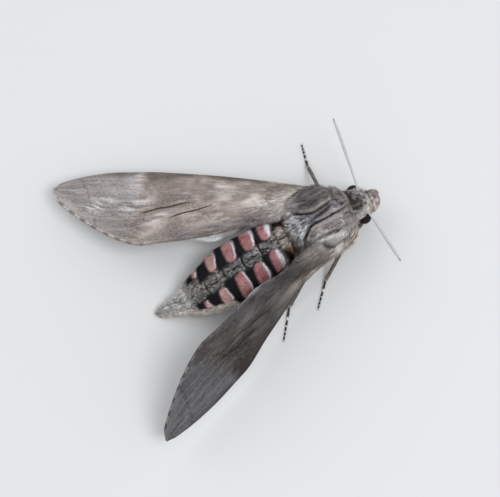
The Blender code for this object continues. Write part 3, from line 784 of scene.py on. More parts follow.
def shape_skin():
    """One skin for head, palps, neck, thorax, shoulder pads and abdomen."""
    shapes = [closed_rings(trunk_rings())] + [closed_rings(egg(*plan)) for plan in FACE_EGGS]
    straight, quads = remeshed(*joined(shapes), SKIN_VOXEL)
    straight = relaxed(straight, quads, 4)
    normals = vertex_normals(straight, quads)
    if np.mean(np.sum(normals * (straight - straight.mean(0)), axis=1)) < 0:
        quads = quads[:, ::-1]
        normals = -normals
    straight = socketed(straight + normals * trunk_relief(straight)[:, None])
    return Skin(straight, vertex_normals(straight, quads), quads)


# ---------------------------------------------------------------- materials

def set_inputs(mat, node, inputs):
    """Gives each input its value, or links it where the value is another node's output."""
    for name, value in inputs.items():
        if isinstance(value, bpy.types.NodeSocket):
            mat.node_tree.links.new(value, node.inputs[name])
        else:
            node.inputs[name].default_value = value


def add_node(mat, kind, inputs, **settings):
    node = mat.node_tree.nodes.new("ShaderNode" + kind)
    for name, value in settings.items():
        setattr(node, name, value)
    set_inputs(mat, node, inputs)
    return node


def spread(mat, value, low, high):
    """A noise value spread over low to high."""
    return add_node(mat, "MapRange", {"Value": value, "From Min": 0.25, "From Max": 0.75,
                                      "To Min": low, "To Max": high}).outputs["Result"]


def two_colours(mat, value, dark, light):
    """A colour between dark and light by a noise value."""
    mix = add_node(mat, "ValToRGB", {"Fac": value})
    for element, colour in zip(mix.color_ramp.elements, (dark, light)):
        element.color = (*tone(*colour), 1)
    return mix.outputs["Color"]


def new_material(name):
    mat = bpy.data.materials.new(name)
    mat.use_nodes = True
    return mat


def finish_material(mat, colour, roughness, height=None, distance=0, strength=0, **others):
    """Sets the shader's inputs, and its bump where distance is above 0."""
    inputs = {"Base Color": colour, "Roughness": roughness, **others}
    if distance:
        bump = add_node(mat, "Bump", {"Height": height, "Distance": distance, "Strength": strength})
        inputs["Normal"] = bump.outputs["Normal"]
    set_inputs(mat, mat.node_tree.nodes["Principled BSDF"], inputs)
    return mat


def scaly_material(name, grain, change=(0.8, 1.2), bump=0.00003, stretch=None):
    """Painted scales: the mesh's tint, varied by grain, with bump and uneven roughness.

    The grain is measured in the frame, or on the wing's map where stretch is given.
    """
    mat = new_material(name)
    if stretch:
        place = add_node(mat, "UVMap", {}, uv_map="wing").outputs["UV"]
        place = add_node(mat, "Mapping", {"Vector": place, "Scale": stretch}).outputs["Vector"]
    else:
        place = add_node(mat, "TexCoord", {}).outputs["Object"]
    noise = add_node(mat, "TexNoise", {"Vector": place, "Scale": grain, "Detail": 3}).outputs["Fac"]
    tint = add_node(mat, "Attribute", {}, attribute_name="tint").outputs["Color"]
    scaled = add_node(mat, "VectorMath", {0: tint, "Scale": spread(mat, noise, *change)},
                      operation="SCALE").outputs["Vector"]
    return finish_material(
        mat, scaled, spread(mat, noise, 0.62, 0.85), noise, bump, 0.6,
        **{"Specular IOR Level": 0.15, "Sheen Weight": 0.02, "Sheen Roughness": 0.5})


def eye_material():
    """Dark chocolate, glossy, made of very small six-sided facets."""
    mat = new_material("compound eye")
    place = add_node(mat, "TexCoord", {}).outputs["Object"]
    facets = add_node(mat, "TexVoronoi", {"Vector": place, "Scale": 14000}).outputs["Distance"]
    bands = add_node(mat, "TexNoise", {"Vector": place, "Scale": 900, "Detail": 2}).outputs["Fac"]
    return finish_material(
        mat, two_colours(mat, bands, (16, 11, 10), (34, 23, 20)), spread(mat, bands, 0.4, 0.55),
        facets, 0.00002, 0.35, **{"Specular IOR Level": 0.12})


def horn_material(name, dark, light, rough):
    """Smooth horny stuff with fine mottling, for the tongue, spurs and claws."""
    mat = new_material(name)
    place = add_node(mat, "TexCoord", {}).outputs["Object"]
    noise = add_node(mat, "TexNoise", {"Vector": place, "Scale": 4000, "Detail": 3}).outputs["Fac"]
    return finish_material(mat, two_colours(mat, noise, dark, light),
                           spread(mat, noise, rough, rough + 0.2), noise, 0.00003, 0.5)


SKIN_SCALES = scaly_material("skin scales", 7000, bump=0.00004)
TUFT_SCALES = scaly_material("coat scales", 6000, (0.86, 1.14), 0)
WING_SCALES = scaly_material("wing scales", 5, (0.84, 1.16), stretch=(0.5, 2.2, 1))
FEELER_SCALES = scaly_material("feeler scales", 12000, (0.9, 1.1))
LEG_SCALES = scaly_material("leg scales", 9000)
AMBER = horn_material("tongue", (58, 36, 26), (104, 66, 44), 0.3)
HORN = horn_material("claws", (40, 30, 26), (120, 100, 84), 0.35)
EYE_SURFACE = eye_material()


# ---------------------------------------------------------------- the coat

Roots = namedtuple("Roots", "points normals")

LOCK_FACES = np.array([(0, 2, 1), (4, 1, 2), (0, 1, 3), (0, 3, 2), (4, 3, 1), (4, 2, 3)])
LOCK_REACH = np.array([0, 0.42, 0.42, 0.42, 1])     # how far along a lock each corner lies
LOCK_SHADE = np.array([0.5, 0.92, 0.92, 1, 1.1])      # painted shade at the root, painted light at the tip
LOCK_PATCH = 0.0015           # half a lock's patch on the bake's map
LOCK_PLACES = np.array([(-1, 0), (0, -1), (0, 1), (0.2, 0), (1, 0)]) * LOCK_PATCH

# Length, width, lift and number to a square millimetre of the locks along the body
LOCK_LENGTH = curve((-13.5, 0.95), (-11.2, 0.9), (-10.3, 0.7), (-8, 0.9), (-6.3, 1.2),
                    (-3, 1.4), (4, 1.45), (6.3, 1.35), (8, 0.85), (10, 0.55),
                    (25, 0.55), (30, 0.85), (37, 1.1))
LOCK_WIDTH = curve((-13.5, 0.13), (-8, 0.14), (-5, 0.15), (5, 0.15), (9, 0.13),
                   (26, 0.13), (30, 0.15), (37, 0.15))
LOCK_LIFT = curve((-13.5, 30), (-11.2, 27), (-10.6, 18), (-8, 18), (-6, 15),
                  (5, 14), (8.5, 13), (10, 8), (29, 8), (37, 8))
LOCKS_PER_AREA = curve((-13.5, 95), (-8, 90), (-6, 80), (5, 80), (9, 84),
                       (26, 84), (30, 70), (37, 70))
# How far the coat fans out to the sides over the thorax
FAN = curve((-9, 0.05), (-6, 0.1), (-4, -0.12), (0, 0.02), (2.5, 0.3), (6.5, 0.55),
            (9, 0.1), (12, 0))

# Pieces of the coat along the body: name, start, end and slot
REGIONS = (
    ("coat_head", -20, -7.3, "head_scales"), ("coat_collar", -7.3, -4.6, "collar_scales"),
    ("coat_thorax_front", -4.6, -0.6, "thorax_scales"),
    ("coat_thorax_middle", -0.6, 3.2, "thorax_scales"),
    ("coat_thorax_rear", 3.2, 7, "thorax_scales"),
    ("coat_abdomen_front", 7, 15.2, "abdomen_scales"),
    ("coat_abdomen_middle", 15.2, 23.2, "abdomen_scales"),
    ("coat_abdomen_rear", 23.2, 29.5, "abdomen_scales"), ("coat_tail", 29.5, 60, "tail_scales"),
)


def sow(skin, density, seed):
    """Roots scattered over the skin, density(points) of them to a square millimetre."""
    rng = np.random.default_rng(seed)
    area = 0.5 * np.linalg.norm(face_normals(skin.straight, skin.quads), axis=1)
    centre = skin.straight[skin.quads].mean(1)
    count = np.floor(density(centre) * area + rng.random(len(area))).astype(int)
    quads = skin.quads[np.repeat(np.arange(len(area)), count)]
    s, t = rng.random((2, len(quads), 1))
    shares = ((1 - s) * (1 - t), s * (1 - t), s * t, (1 - s) * t)

    def inside(values):
        return sum(share * values[quads[:, k]] for k, share in enumerate(shares))

    return Roots(inside(skin.straight), unit(inside(skin.normals)))


def lock_shapes(roots, lie, length, width, lift, seed, stray=12, plump=0.38):
    """Corners, n by 5 by 3, of closed leaf-shaped locks: a root, the two sides and the
    ridge of the thickest place, and a tip.

    lift is the angle in degrees at which a lock leaves the skin, stray how far it turns from
    the lie of the coat, and plump the height of its ridge as a share of its width.
    """
    rng = np.random.default_rng(seed)
    points, normals = roots
    count = len(points)
    lie = unit(lie - normals * np.sum(lie * normals, axis=-1, keepdims=True))
    turn = np.radians(stray) * rng.standard_normal((count, 1))
    along = lie * np.cos(turn) + np.cross(normals, lie) * np.sin(turn)
    side = np.cross(normals, along)
    length = np.broadcast_to(length, count)[:, None] * rng.uniform(0.75, 1.25, (count, 1))
    width = np.broadcast_to(width, count)[:, None] * rng.uniform(0.8, 1.2, (count, 1))
    angle = np.radians(np.broadcast_to(lift, count)[:, None] * rng.uniform(0.5, 1.5, (count, 1)))
    middle = points + length * (0.42 * along * np.cos(angle) + 0.5 * normals * np.sin(angle))
    tip = points + length * (along * np.cos(angle) + 0.85 * normals * np.sin(angle))
    return np.stack([points - 0.04 * normals, middle - 0.5 * width * side,
                     middle + 0.5 * width * side, middle + plump * width * normals, tip], 1)


def coat_piece(name, shapes, tints, places, head=True):
    """A piece of the coat: locks with one tint, or one for each corner, on the bake's map by
    their roots' places, given as two arrays; head says whether the turned head moves them."""
    count = len(shapes)
    faces = (LOCK_FACES[None] + 5 * np.arange(count)[:, None, None]).reshape(-1, 3)
    if tints.ndim == 2:
        tints = np.repeat(tints[:, None], 5, axis=1)
    margin = 2 * LOCK_PATCH
    places = margin + (1 - 2 * margin) * np.clip(np.stack(places, 1), 0, 1)
    points = (with_head(shapes) if head else shapes).reshape(-1, 3)
    build_piece(name, (points, [faces]), TUFT_SCALES,
                tints=(tints * LOCK_SHADE[None, :, None]).reshape(-1, 3),
                maps=[("OFBake", (places[:, None] + LOCK_PLACES[None]).reshape(-1, 2))])


def varied(tints, amount, seed):
    """Tints that differ a little from lock to lock, with a few pale and a few dark ones."""
    rng = np.random.default_rng(seed)
    factor = 1 + amount * rng.standard_normal(len(tints))
    odd = rng.random(len(tints))
    factor = np.where(odd < 0.07, factor * 0.6, np.where(odd > 0.93, factor * 1.4, factor))
    return tints * np.clip(factor, 0.35, 1.8).reshape(-1, *[1] * (tints.ndim - 1))


def shoulder_share(y, angle):
    """1 over the wing roots, where the long hair of the shoulder pads runs onto the wings."""
    return window(38, 92, abs(angle), 14) * window(-2.2, 5, y, 1.5)


def lie_of_coat(points):
    """Direction in which the coat lies: to the tail, fanned over the thorax, along the black
    lines, up the palps, out along the wings from the shoulders and round the eyes."""
    y, angle, x = around(points)
    lie = np.zeros_like(points)
    lie[:, 1] = 1
    lie[:, 0] = FAN(y) * np.clip(x / 1.5, -1, 1) * ramp(120, 60, abs(angle))
    lie[:, 0] += 0.5 * np.sign(x) * shoulder_share(y, angle)
    top = ramp(100, 80, abs(angle))
    for line, start, end in ((LEFT_LINE, -5, 4.4), (RIGHT_LINE, -4.4, 4.9)):
        near = run(line, y, x, 0.7, start, end, 0.4) * top
        lie[:, 0] += near * (slope_of(line, y) - lie[:, 0])
    palp = ramp(-10.9, -11.4, y)[:, None]
    lie = lie * (1 - palp) + palp * np.array([0, -0.8, 0.5])
    for _, _, centre in EYES:
        to_eye = centre - points
        gap = np.linalg.norm(to_eye, axis=1, keepdims=True)
        to_eye = to_eye / gap
        inward = np.clip(np.sum(lie * to_eye, axis=1, keepdims=True), 0, None)
        lie = lie - to_eye * inward * ramp(EYE_RADIUS + 1, EYE_RADIUS + 0.4, gap)
    return lie


def locks_per_area(points):
    """Thinner where the wings and the ground hide the body."""
    y, angle, _ = around(points)
    return LOCKS_PER_AREA(y) * (1 - 0.35 * ramp(100, 130, abs(angle)))


def grow_coat(skin):
    """The coat of head, thorax and abdomen, longer on the breast, shoulders and rear flanks."""
    rng = np.random.default_rng(100)
    roots = sow(skin, locks_per_area, 101)
    outside = np.ones(len(roots.points), bool)
    for _, _, centre in EYES:
        outside &= np.linalg.norm(roots.points - centre, axis=1) > EYE_RADIUS + 0.06
    roots = Roots(roots.points[outside], roots.normals[outside])
    y, angle, _ = around(roots.points)
    under = ramp(95, 125, abs(angle)) * window(-6, 6, y, 1)
    fringe = window(66, 112, abs(angle), 8) * window(19, 29, y, 2)
    shoulder = shoulder_share(y, angle)
    length = LOCK_LENGTH(y) * (1 + 0.4 * under + 0.7 * shoulder + 0.9 * fringe)
    lift = LOCK_LIFT(y) * (1 - 0.4 * shoulder) + 20 * fringe
    shapes = lock_shapes(roots, lie_of_coat(roots.points), length, LOCK_WIDTH(y), lift, 102)
    shapes[..., 2] = np.maximum(shapes[..., 2], 0.03)
    ragged = 0.05 * rng.standard_normal((len(y), 1, 3))
    for name, start, end, slot in REGIONS:
        chosen = (y >= start) & (y < end)
        seen = (shapes + ragged)[chosen].reshape(-1, 3)
        tints = varied(trunk_tint(seen).reshape(-1, 5, 3), 0.17, 103)
        places = ((y[chosen] - y[chosen].min()) / np.ptp(y[chosen]), angle[chosen] / 360 + 0.5)
        coat_piece(name, shapes[chosen], tints, places)


SHOULDER_TUFTS = 34           # to a square millimetre


def shoulder_density(points):
    y, angle, _ = around(points)
    return SHOULDER_TUFTS * window(66, 104, abs(angle), 5) * window(-6.3, 6.4, y, 0.6)


def shoulder_tufts(skin):
    """Long loose hair from the sides of the thorax, bridging to the roots of the wings.

    On the moth's right it makes cream and brown bands from behind the eye to the wing.
    """
    roots = sow(skin, shoulder_density, 121)
    y, angle, x = around(roots.points)
    side = np.sign(x)
    on_right = ramp(0.5, -0.5, x)
    forward = ramp(-1.5, -4.5, y)
    lie = np.stack([side * (0.6 - 0.35 * forward), 1 + 0 * y, -0.15 + 0.1 * forward], 1)
    length = (1.5 + 0.9 * ramp(-5, 0, y)) * (1 - 0.25 * ramp(4, 6, y))
    length = length * (1 + 0.45 * on_right * window(-6, -1.5, y, 1))
    shapes = lock_shapes(roots, lie, length, 0.19, 21 + 5 * forward, 122, 9, 0.3)
    streak = np.random.default_rng(123).random(len(y))
    low = abs(angle) - 3 * (streak - 0.5)
    stripes = ridge(low - 80, 2.2) + ridge(low - 91, 2.6)
    bands = layered((190, 172, 158), ((228, 214, 202), streak),
                    ((98, 70, 56), 0.85 * np.clip(stripes, 0, 1)))
    fringe = on_right * window(60, 74, abs(angle), 3) * window(-3, 3.5, y, 0.6)
    tints = layered(
        trunk_tint(roots.points),
        (bands, 0.9 * on_right * ramp(70, 75, abs(angle)) * ramp(2.5, 0.5, y)),
        ((234, 231, 226), 0.9 * fringe))
    coat_piece("coat_shoulders", shapes, varied(tints, 0.12, 124),
               ((y + 7) / 14, angle / 360 + 0.5))


# Black and dark strokes on the thorax and the back: half width, colour and (x, y) points
STROKES = (
    (0.115, (15, 13, 16), ((0.45, -5.5), (0.15, -5.3), (0.75, -5.05), (1.35, -4.62), (1.81, -3.74),
                           (1.58, -2.7), (1.32, -1.2), (1.1, 0), (1.2, 1), (1.67, 2.3),
                           (2.2, 3.3), (2.8, 4.4))),
    (0.15, (15, 13, 16), ((-0.71, -4.5), (-0.92, -2), (-1.03, -0.3), (-0.98, 1), (-1.1, 2.2),
                          (-1.5, 3), (-2.08, 3.8), (-2.58, 4.4), (-3.2, 5))),
    (0.13, (38, 33, 40), ((1.15, -3.4), (0.5, -1.7), (0.08, -0.3), (0, 0.8), (-0.3, 2.4))),
    (0.08, (50, 43, 50), ((1.5, -3), (1, -1.7), (0.65, -0.6))),
    (0.12, (24, 20, 22), ((-4.36, -2.8), (-4.26, -1.7), (-4.1, -0.4), (-4.06, 0.5))),
    (0.09, (20, 18, 21), ((1, 13.05), (0.2, 13.35), (-0.6, 13.45), (-1.7, 13.4), (-2.6, 13.1))),
    (0.08, (24, 22, 25), ((0.1, 17.45), (-0.9, 17.6), (-1.9, 17.5), (-2.6, 17.3))),
    (0.08, (24, 22, 25), ((-0.5, 21.6), (-1.3, 21.75), (-2.1, 21.65))),
    (0.07, (26, 22, 24), ((-0.75, 11.5), (-0.8, 12.2), (-0.7, 12.9))),
    (0.07, (26, 22, 24), ((-1.2, 14.6), (-1.1, 15.4), (-1.3, 16.3))),
    (0.07, (26, 22, 24), ((-1.4, 18.3), (-1.3, 19), (-1.5, 19.8))),
    (0.07, (26, 22, 24), ((-1.8, 23), (-1.9, 24), (-1.8, 24.8))),
)
STROKE_LOCKS = 34             # to a millimetre of a stroke


def stroke_locks(skin):
    """Narrow dark locks laid end over end along the lines of the thorax and the back."""
    rng = np.random.default_rng(131)
    upper = skin.normals[:, 2] > 0.15
    spots, ways = skin.straight[upper], skin.normals[upper]
    laid = []
    for half, colour, points in STROKES:
        path = smooth_path([(x, y, 0) for x, y in points], 240)
        ahead = unit(np.gradient(path, axis=0))
        reach = np.linalg.norm(np.diff(path, axis=0), axis=1).sum()
        pick = np.sort(rng.integers(0, len(path) - 14, int(STROKE_LOCKS * reach)))
        place = path[pick, :2] + 0.3 * half * rng.standard_normal((len(pick), 2))
        near = np.array([np.argmin(np.sum((spots[:, :2] - p) ** 2, axis=1)) for p in place])
        found = spots[near].copy()
        found[:, :2] = place
        width = 2 * half * (0.5 + 0.5 * window(0.05, 0.92, pick / len(path), 0.06))
        laid.append((found + 0.16 * ways[near], ways[near], ahead[pick], width,
                     tone(*colour) * rng.uniform(0.7, 1.5, (len(pick), 1))))
    roots, normals, lies, widths, tints = gathered(laid)
    shapes = lock_shapes(Roots(roots, normals), lies, 0.62, widths, 5, 132, 4, 0.3)
    places = (np.arange(len(widths)) / len(widths), 0.5 + 0 * widths)
    coat_piece("coat_lines", shapes, tints, places)


# Cream and brown band from behind the right eye, over the shoulder and along the front edge
# of the raised wing: points of its outer and inner border over the body, and then how far
# across the wing the two go, at places along it and at heights over it
BAND_OUTER = ((-4.3, -7.2, 7.2), (-5.7, -5.7, 7.3), (-6.7, -3.9, 7.6))
BAND_INNER = ((-3.6, -6.8, 8.3), (-4.9, -5.2, 8.9), (-5.95, -3.4, 9.35))
BAND_ACROSS = ((-0.08, -0.06, -0.04, 0), (0.42, 0.4, 0.34, 0.26))
BAND_ALONG = (0, 0.06, 0.12, 0.19)
BAND_LIFTS = (0.34, 0.32, 0.24, 0.05)
BAND_POINTS = 300
BAND_END = 278                # the last of these points at which a lock starts
BAND_LOCKS = 3400


def band_border(start, across):
    """Points of a border of the band, over the body and then along the raised wing."""
    there = wing_points(WINGS["forewing_right"], np.array(BAND_ALONG), np.array(across),
                        np.array(BAND_LIFTS))
    return smooth_path([*start, *there], BAND_POINTS)


def shoulder_band():
    """Long narrow locks along the band, cream with two brown lines and a ragged outer side."""
    rng = np.random.default_rng(141)
    outer, inner = (band_border(*plan) for plan in zip((BAND_OUTER, BAND_INNER), BAND_ACROSS))
    pick = (BAND_END * rng.random(BAND_LOCKS) ** 1.12).astype(int)
    side = rng.uniform(-0.12, 1, BAND_LOCKS)
    spot = outer[pick] + (inner - outer)[pick] * side[:, None]
    share = pick / BAND_POINTS
    ahead = unit(np.gradient(outer, axis=0))[pick]
    normal = unit(np.cross(ahead, (inner - outer)[pick]))
    normal = normal * np.where(normal[:, :1] < 0, 1, -1)
    lift = 5 + 16 * ramp(0.1, -0.1, side) * window(0.1, 0.6, share, 0.1)
    shapes = lock_shapes(Roots(spot + 0.14 * normal, normal), ahead, 1.5 - 0.5 * share, 0.13,
                         lift, 142, 2.5, 0.35)
    lines = ridge(side - 0.25, 0.11) + ridge(side - 0.72, 0.11)
    ragged = ramp(0.12, 0, side) * window(0.12, 0.62, share, 0.08)
    tints = layered(
        (200, 184, 170), ((244, 236, 227), rng.random(BAND_LOCKS)),
        ((60, 40, 32), 0.95 * np.clip(1.3 * lines, 0, 1)),
        ((132, 104, 92), 0.8 * ragged * rng.random(BAND_LOCKS)),
        ((240, 238, 234), ridge(share - 0.4, 0.05) * ramp(0.4, 0.6, side)),
        ((128, 116, 108), 0.85 * ramp(0.76, 0.93, share)),
        ((150, 138, 130), 0.7 * ramp(0.1, 0, share)))
    coat_piece("coat_shoulder_band", shapes, tints, (share, side))


# ---------------------------------------------------------------- eyes, feelers, tongue

RIM_LOCKS = 1100


def build_eye(word, centre):
    """A domed eye, a little flatter in front and behind than a ball."""
    out = ball_grid(60, 96, 89)
    bulge = 1 - 0.035 * np.abs(out[..., 1:2]) ** 3
    points, faces = closed_rings(centre + EYE_RADIUS * out * bulge)
    build_piece("compound_eye_" + word, (with_head(points), faces), EYE_SURFACE,
                ["eye_" + word])


def eye_rims():
    """Short cream scales round each eye, lying back along its rim, whiter behind the right one."""
    rng = np.random.default_rng(201)
    laid = []
    for side, _, centre in EYES:
        turn = rng.uniform(0, 2 * np.pi, RIM_LOCKS)
        outward = rng.uniform(0, 0.32, RIM_LOCKS)
        out = np.stack([0 * turn, np.cos(turn), np.sin(turn)], 1)
        hug = -0.25 + 0.6 * ramp(-0.7, 0.2, out[:, 1]) * ramp(-0.8, -0.2, out[:, 2])
        ring = centre + out * (np.sqrt(EYE_RADIUS ** 2 - hug ** 2) + 0.5 * outward)[:, None]
        ring[:, 0] = centre[0] + side * (hug - 0.9 * outward)
        laid.append((ring, unit(out + np.array([side * 0.7, 0, 0])),
                     np.stack([side * 0.3 + 0 * turn, 0.8 + 0 * turn, 0 * turn], 1)))
    points, normals, lies = gathered(laid)
    shapes = lock_shapes(Roots(points, normals), lies, 0.36, 0.1, 12, 202)
    x, y, z = points.T
    tints = layered(
        (200, 190, 184), ((110, 98, 96), ramp(0.55, 0.95, rng.random(2 * RIM_LOCKS))),
        ((238, 233, 228), 0.8 * ramp(0.2, -0.2, x) * ramp(-9.3, -8.6, y)))
    coat_piece("coat_eye_rims", shapes, varied(tints, 0.12, 203),
               ((y + 12) / 6, (z - 4) / 12 + 0.5 * (x > 0)))


ANTENNA_RADIUS = curve((0, 0.2), (0.1, 0.19), (0.3, 0.23), (0.6, 0.29), (0.8, 0.28),
                       (0.93, 0.22), (1, 0.1))


def build_antenna(side, word):
    """Ringed feeler, whitish above and brown beneath, thickest beyond its middle."""
    root = ANTENNA_PATH[0][0]
    lean = side * ANTENNA_FORWARD
    sides = 20
    path = smooth_path([(side * x, y + lean * (x - root), z) for x, y, z in ANTENNA_PATH], 560)
    t = np.linspace(0, 1, len(path))
    ring = (t * ANTENNA_RINGS) % 1
    rings = tube(path, ANTENNA_RADIUS(t) * (1 - 0.64 * np.clip(ring - 0.75, 0, 1)), sides, 0.88)
    points, faces = closed_rings(rings)
    out = unit(rings - path[:, None])
    colour = layered(
        (118, 92, 78),
        ((180, 184, 185), ramp(-0.35, 0.3, out[..., 2] - 0.25 * out[..., 1]).ravel()),
        ((110, 104, 100), 0.5 * ramp(0.72, 0.95, np.repeat(ring, sides))),
        ((150, 146, 142), 0.5 * ramp(0.4, 0.2, cloud(rings.reshape(-1, 3), 0.16, 211))),
        ((96, 78, 68), np.repeat(ramp(0.94, 1, t), sides)))
    build_piece("feeler_" + word, (with_head(points), faces), FEELER_SCALES,
                ["antenna_" + word], with_ends(colour))


def build_tongue():
    """The proboscis, coiled like a watch spring under the head, with fine cross ridges."""
    t = np.linspace(0, 1, 420)
    turn = 2 * np.pi * COIL_TURNS * t
    reach = COIL_OUTER - COIL_PITCH * COIL_TURNS * t
    path = np.stack([0 * t, reach * np.sin(turn), reach * np.cos(turn)], 1) + COIL_CENTRE
    radius = COIL_RADIUS * (1 - 0.45 * t) * (1 + 0.05 * np.sin(2 * np.pi * t * 70))
    points, faces = closed_rings(tube(path, radius))
    build_piece("coiled_proboscis", (with_head(points), faces), AMBER,
                ["proboscis"])


# ---------------------------------------------------------------- legs

FEMUR_RADIUS = curve((0, 0.44), (0.15, 0.48), (0.5, 0.46), (0.85, 0.34), (1, 0.26))
TIBIA_RADIUS = curve((0, 0.24), (0.12, 0.3), (0.6, 0.31), (0.88, 0.28), (1, 0.2))
TARSUS_LENGTHS = np.array([0.4, 0.2, 0.16, 0.12, 0.12])   # shares of the foot's five small joints


def tarsus_joint(t):
    """Which of the foot's small joints is at t, and how far along that joint it is."""
    ends = np.cumsum(TARSUS_LENGTHS)
    k = np.clip(np.searchsorted(ends, t), 0, 4)
    return k, (t - (ends - TARSUS_LENGTHS)[k]) / TARSUS_LENGTHS[k]


def tarsus_radius(t):
    """Bead-like joints, each widening to its end, and each slimmer than the last."""
    k, part = tarsus_joint(t)
    bead = (0.72 + 0.28 * ramp(0, 0.8, part)) * (1 - 0.3 * ramp(0.9, 1, part))
    return (0.235 - 0.018 * k) * bead


# Radius along each length of a leg, its sides, and its scales: how many to a square
# millimetre, and how long they are
Length = namedtuple("Length", "name radius sides density scale")
LENGTHS = (Length("femur", FEMUR_RADIUS, 16, 70, 0.6), Length("tibia", TIBIA_RADIUS, 16, 75, 0.42),
           Length("tarsus", tarsus_radius, 14, 35, 0.2))


def leg_paths(leg):
    """Points of femur, tibia and tarsus, from inside the thorax to the foot's end."""
    hip, knee = np.array(leg.hip), np.array(leg.knee)
    ankle = np.array([*leg.ankle, ANKLE_HEIGHT])
    toe = np.array([*leg.toe, TOE_HEIGHT])
    low = ankle + 0.45 * (toe - ankle)
    low[2] = TOE_HEIGHT
    inside = hip * (0.75, 1, 1) + 1.6 * UP
    return (smooth_path([inside, hip, knee], 70), smooth_path([knee, ankle], 60),
            smooth_path([ankle, ankle + 0.25 * (low - ankle), low, toe], 120))


def build_leg(word, paths):
    """Femur, tibia and five-jointed foot, grey-brown with pale ends; the foot is ringed."""
    shapes, tints = [], []
    for path, length in zip(paths, LENGTHS):
        t = np.linspace(0, 1, len(path))
        rings = tube(path, length.radius(t), length.sides)
        shapes.append(closed_rings(rings))
        if length.name == "tarsus":
            pale = ramp(0.72, 0.86, tarsus_joint(t)[1])
            colour = layered((46, 42, 42), ((196, 192, 186), np.repeat(pale, length.sides)))
        else:
            mottle = cloud(rings.reshape(-1, 3), 0.5, 301)
            colour = layered(
                (92, 84, 80), ((150, 144, 138), 0.7 * ramp(0.55, 0.85, mottle)),
                ((178, 172, 164), 0.7 * np.repeat(ramp(0.9, 0.99, t), length.sides)))
        tints.append(with_ends(colour))
    build_piece("leg_" + word, joined(shapes), LEG_SCALES,
                [length.name + "_" + word for length in LENGTHS], np.concatenate(tints))


def spine(start, reach, radius, sides=8, bend=0):
    """A pointed spine from start over reach, raised by bend at its middle."""
    t = np.linspace(0, 1, 8)[:, None]
    path = start + reach * t + bend * UP * 4 * t * (1 - t)
    return closed_rings(tube(path, radius * (1 - 0.93 * t[:, 0]), sides))


def build_spines(word, tibia, tarsus):
    """Two claws on the foot, small spines along it, and spurs at the end of the tibia."""
    way = unit(tarsus[-1] - tarsus[-8])
    side = unit(np.cross(way, UP))
    shin = unit(tibia[-1] - tibia[-10])
    spurs = {"front": (), "middle": ((-3, 1.1),), "hind": ((-3, 1.1), (-24, 1))}
    shapes = []
    for hand in (-1, 1):
        shapes.append(spine(tarsus[-1] + hand * 0.07 * side - 0.03 * way,
                            0.42 * way + hand * 0.16 * side - 0.16 * UP, 0.055, bend=0.07))
    for place, reach in spurs[word.split("_")[0]]:
        for hand in (-1, 1):
            shapes.append(spine(tibia[place], reach * (shin + hand * 0.42 * side) - 0.1 * UP,
                                0.085, bend=0.05))
    for k in range(12, len(tarsus) - 6, 9):
        for hand in (-1, 1):
            ahead = unit(tarsus[k + 4] - tarsus[k])
            shapes.append(spine(tarsus[k] + hand * 0.13 * side - 0.05 * UP,
                                0.2 * ahead + hand * 0.13 * side - 0.03 * UP, 0.03, 5))
    points, faces = joined(shapes)
    points[:, 2] = np.maximum(points[:, 2], 0.004)
    build_piece("claws_" + word, (points, faces), HORN)


def leg_coat(legs):
    """Short flat scales down each leg, longer on the thighs."""
    rng = np.random.default_rng(311)
    laid = []
    for number, paths in enumerate(legs):
        for part, (path, length) in enumerate(zip(paths, LENGTHS)):
            t = np.linspace(0, 1, len(path))
            size = length.radius(t)
            area = 2 * np.pi * size.mean() * np.linalg.norm(path[-1] - path[0])
            count = int(length.density * area)
            k = rng.integers(1, len(path) - 2, count)
            turn = rng.uniform(0, 2 * np.pi, count)
            ahead = unit(np.gradient(path, axis=0))[k]
            side = unit(np.cross(ahead, UP))
            out = side * np.cos(turn)[:, None] + np.cross(side, ahead) * np.sin(turn)[:, None]
            tints = layered((74, 66, 60), ((160, 148, 138), rng.random(count) ** 1.7))
            if length.name == "tarsus":
                pale = ramp(0.6, 0.78, tarsus_joint(t)[1][k])
                tints = layered((44, 40, 41), ((204, 200, 194), pale))
            else:
                tints = layered(tints, ((188, 180, 172), 0.8 * ramp(0.86, 0.97, t[k])))
            laid.append((path[k] + out * size[k][:, None], out, ahead,
                         np.full(count, length.scale), tints,
                         np.stack([(number + turn / (2 * np.pi)) / 6, (part + t[k]) / 3], 1)))
    points, normals, lies, lengths, tints, places = gathered(laid)
    above = points[:, 2] > 0.16
    shapes = lock_shapes(Roots(points[above], normals[above]), lies[above], lengths[above],
                         np.where(lengths < 0.3, 0.07, 0.12)[above], 9, 312)
    shapes[..., 2] = np.maximum(shapes[..., 2], 0.02)
    coat_piece("coat_legs", shapes, varied(tints[above], 0.14, 313), places[above].T,
               head=False)


# ---------------------------------------------------------------- wings

# Veins: (u, v) where each leaves the cell or root and where it meets the margin
FORE_VEINS = ((0, 0.12, 0.62, 0.02), (0.05, 0.2, 0.8, 0.03), (0.3, 0.16, 0.9, 0.06),
              (0.36, 0.2, 0.96, 0.16), (0.42, 0.26, 0.99, 0.4), (0.44, 0.38, 0.99, 0.62),
              (0.45, 0.46, 0.97, 0.84), (0.42, 0.54, 0.92, 0.97), (0.34, 0.57, 0.8, 0.99),
              (0.22, 0.55, 0.66, 0.99), (0.03, 0.72, 0.5, 0.985))
HIND_VEINS = ((0, 0.15, 0.95, 0.05), (0.25, 0.3, 1, 0.3), (0.35, 0.42, 0.98, 0.6),
              (0.35, 0.55, 0.88, 0.92), (0.2, 0.6, 0.66, 0.98), (0.03, 0.75, 0.4, 0.98))

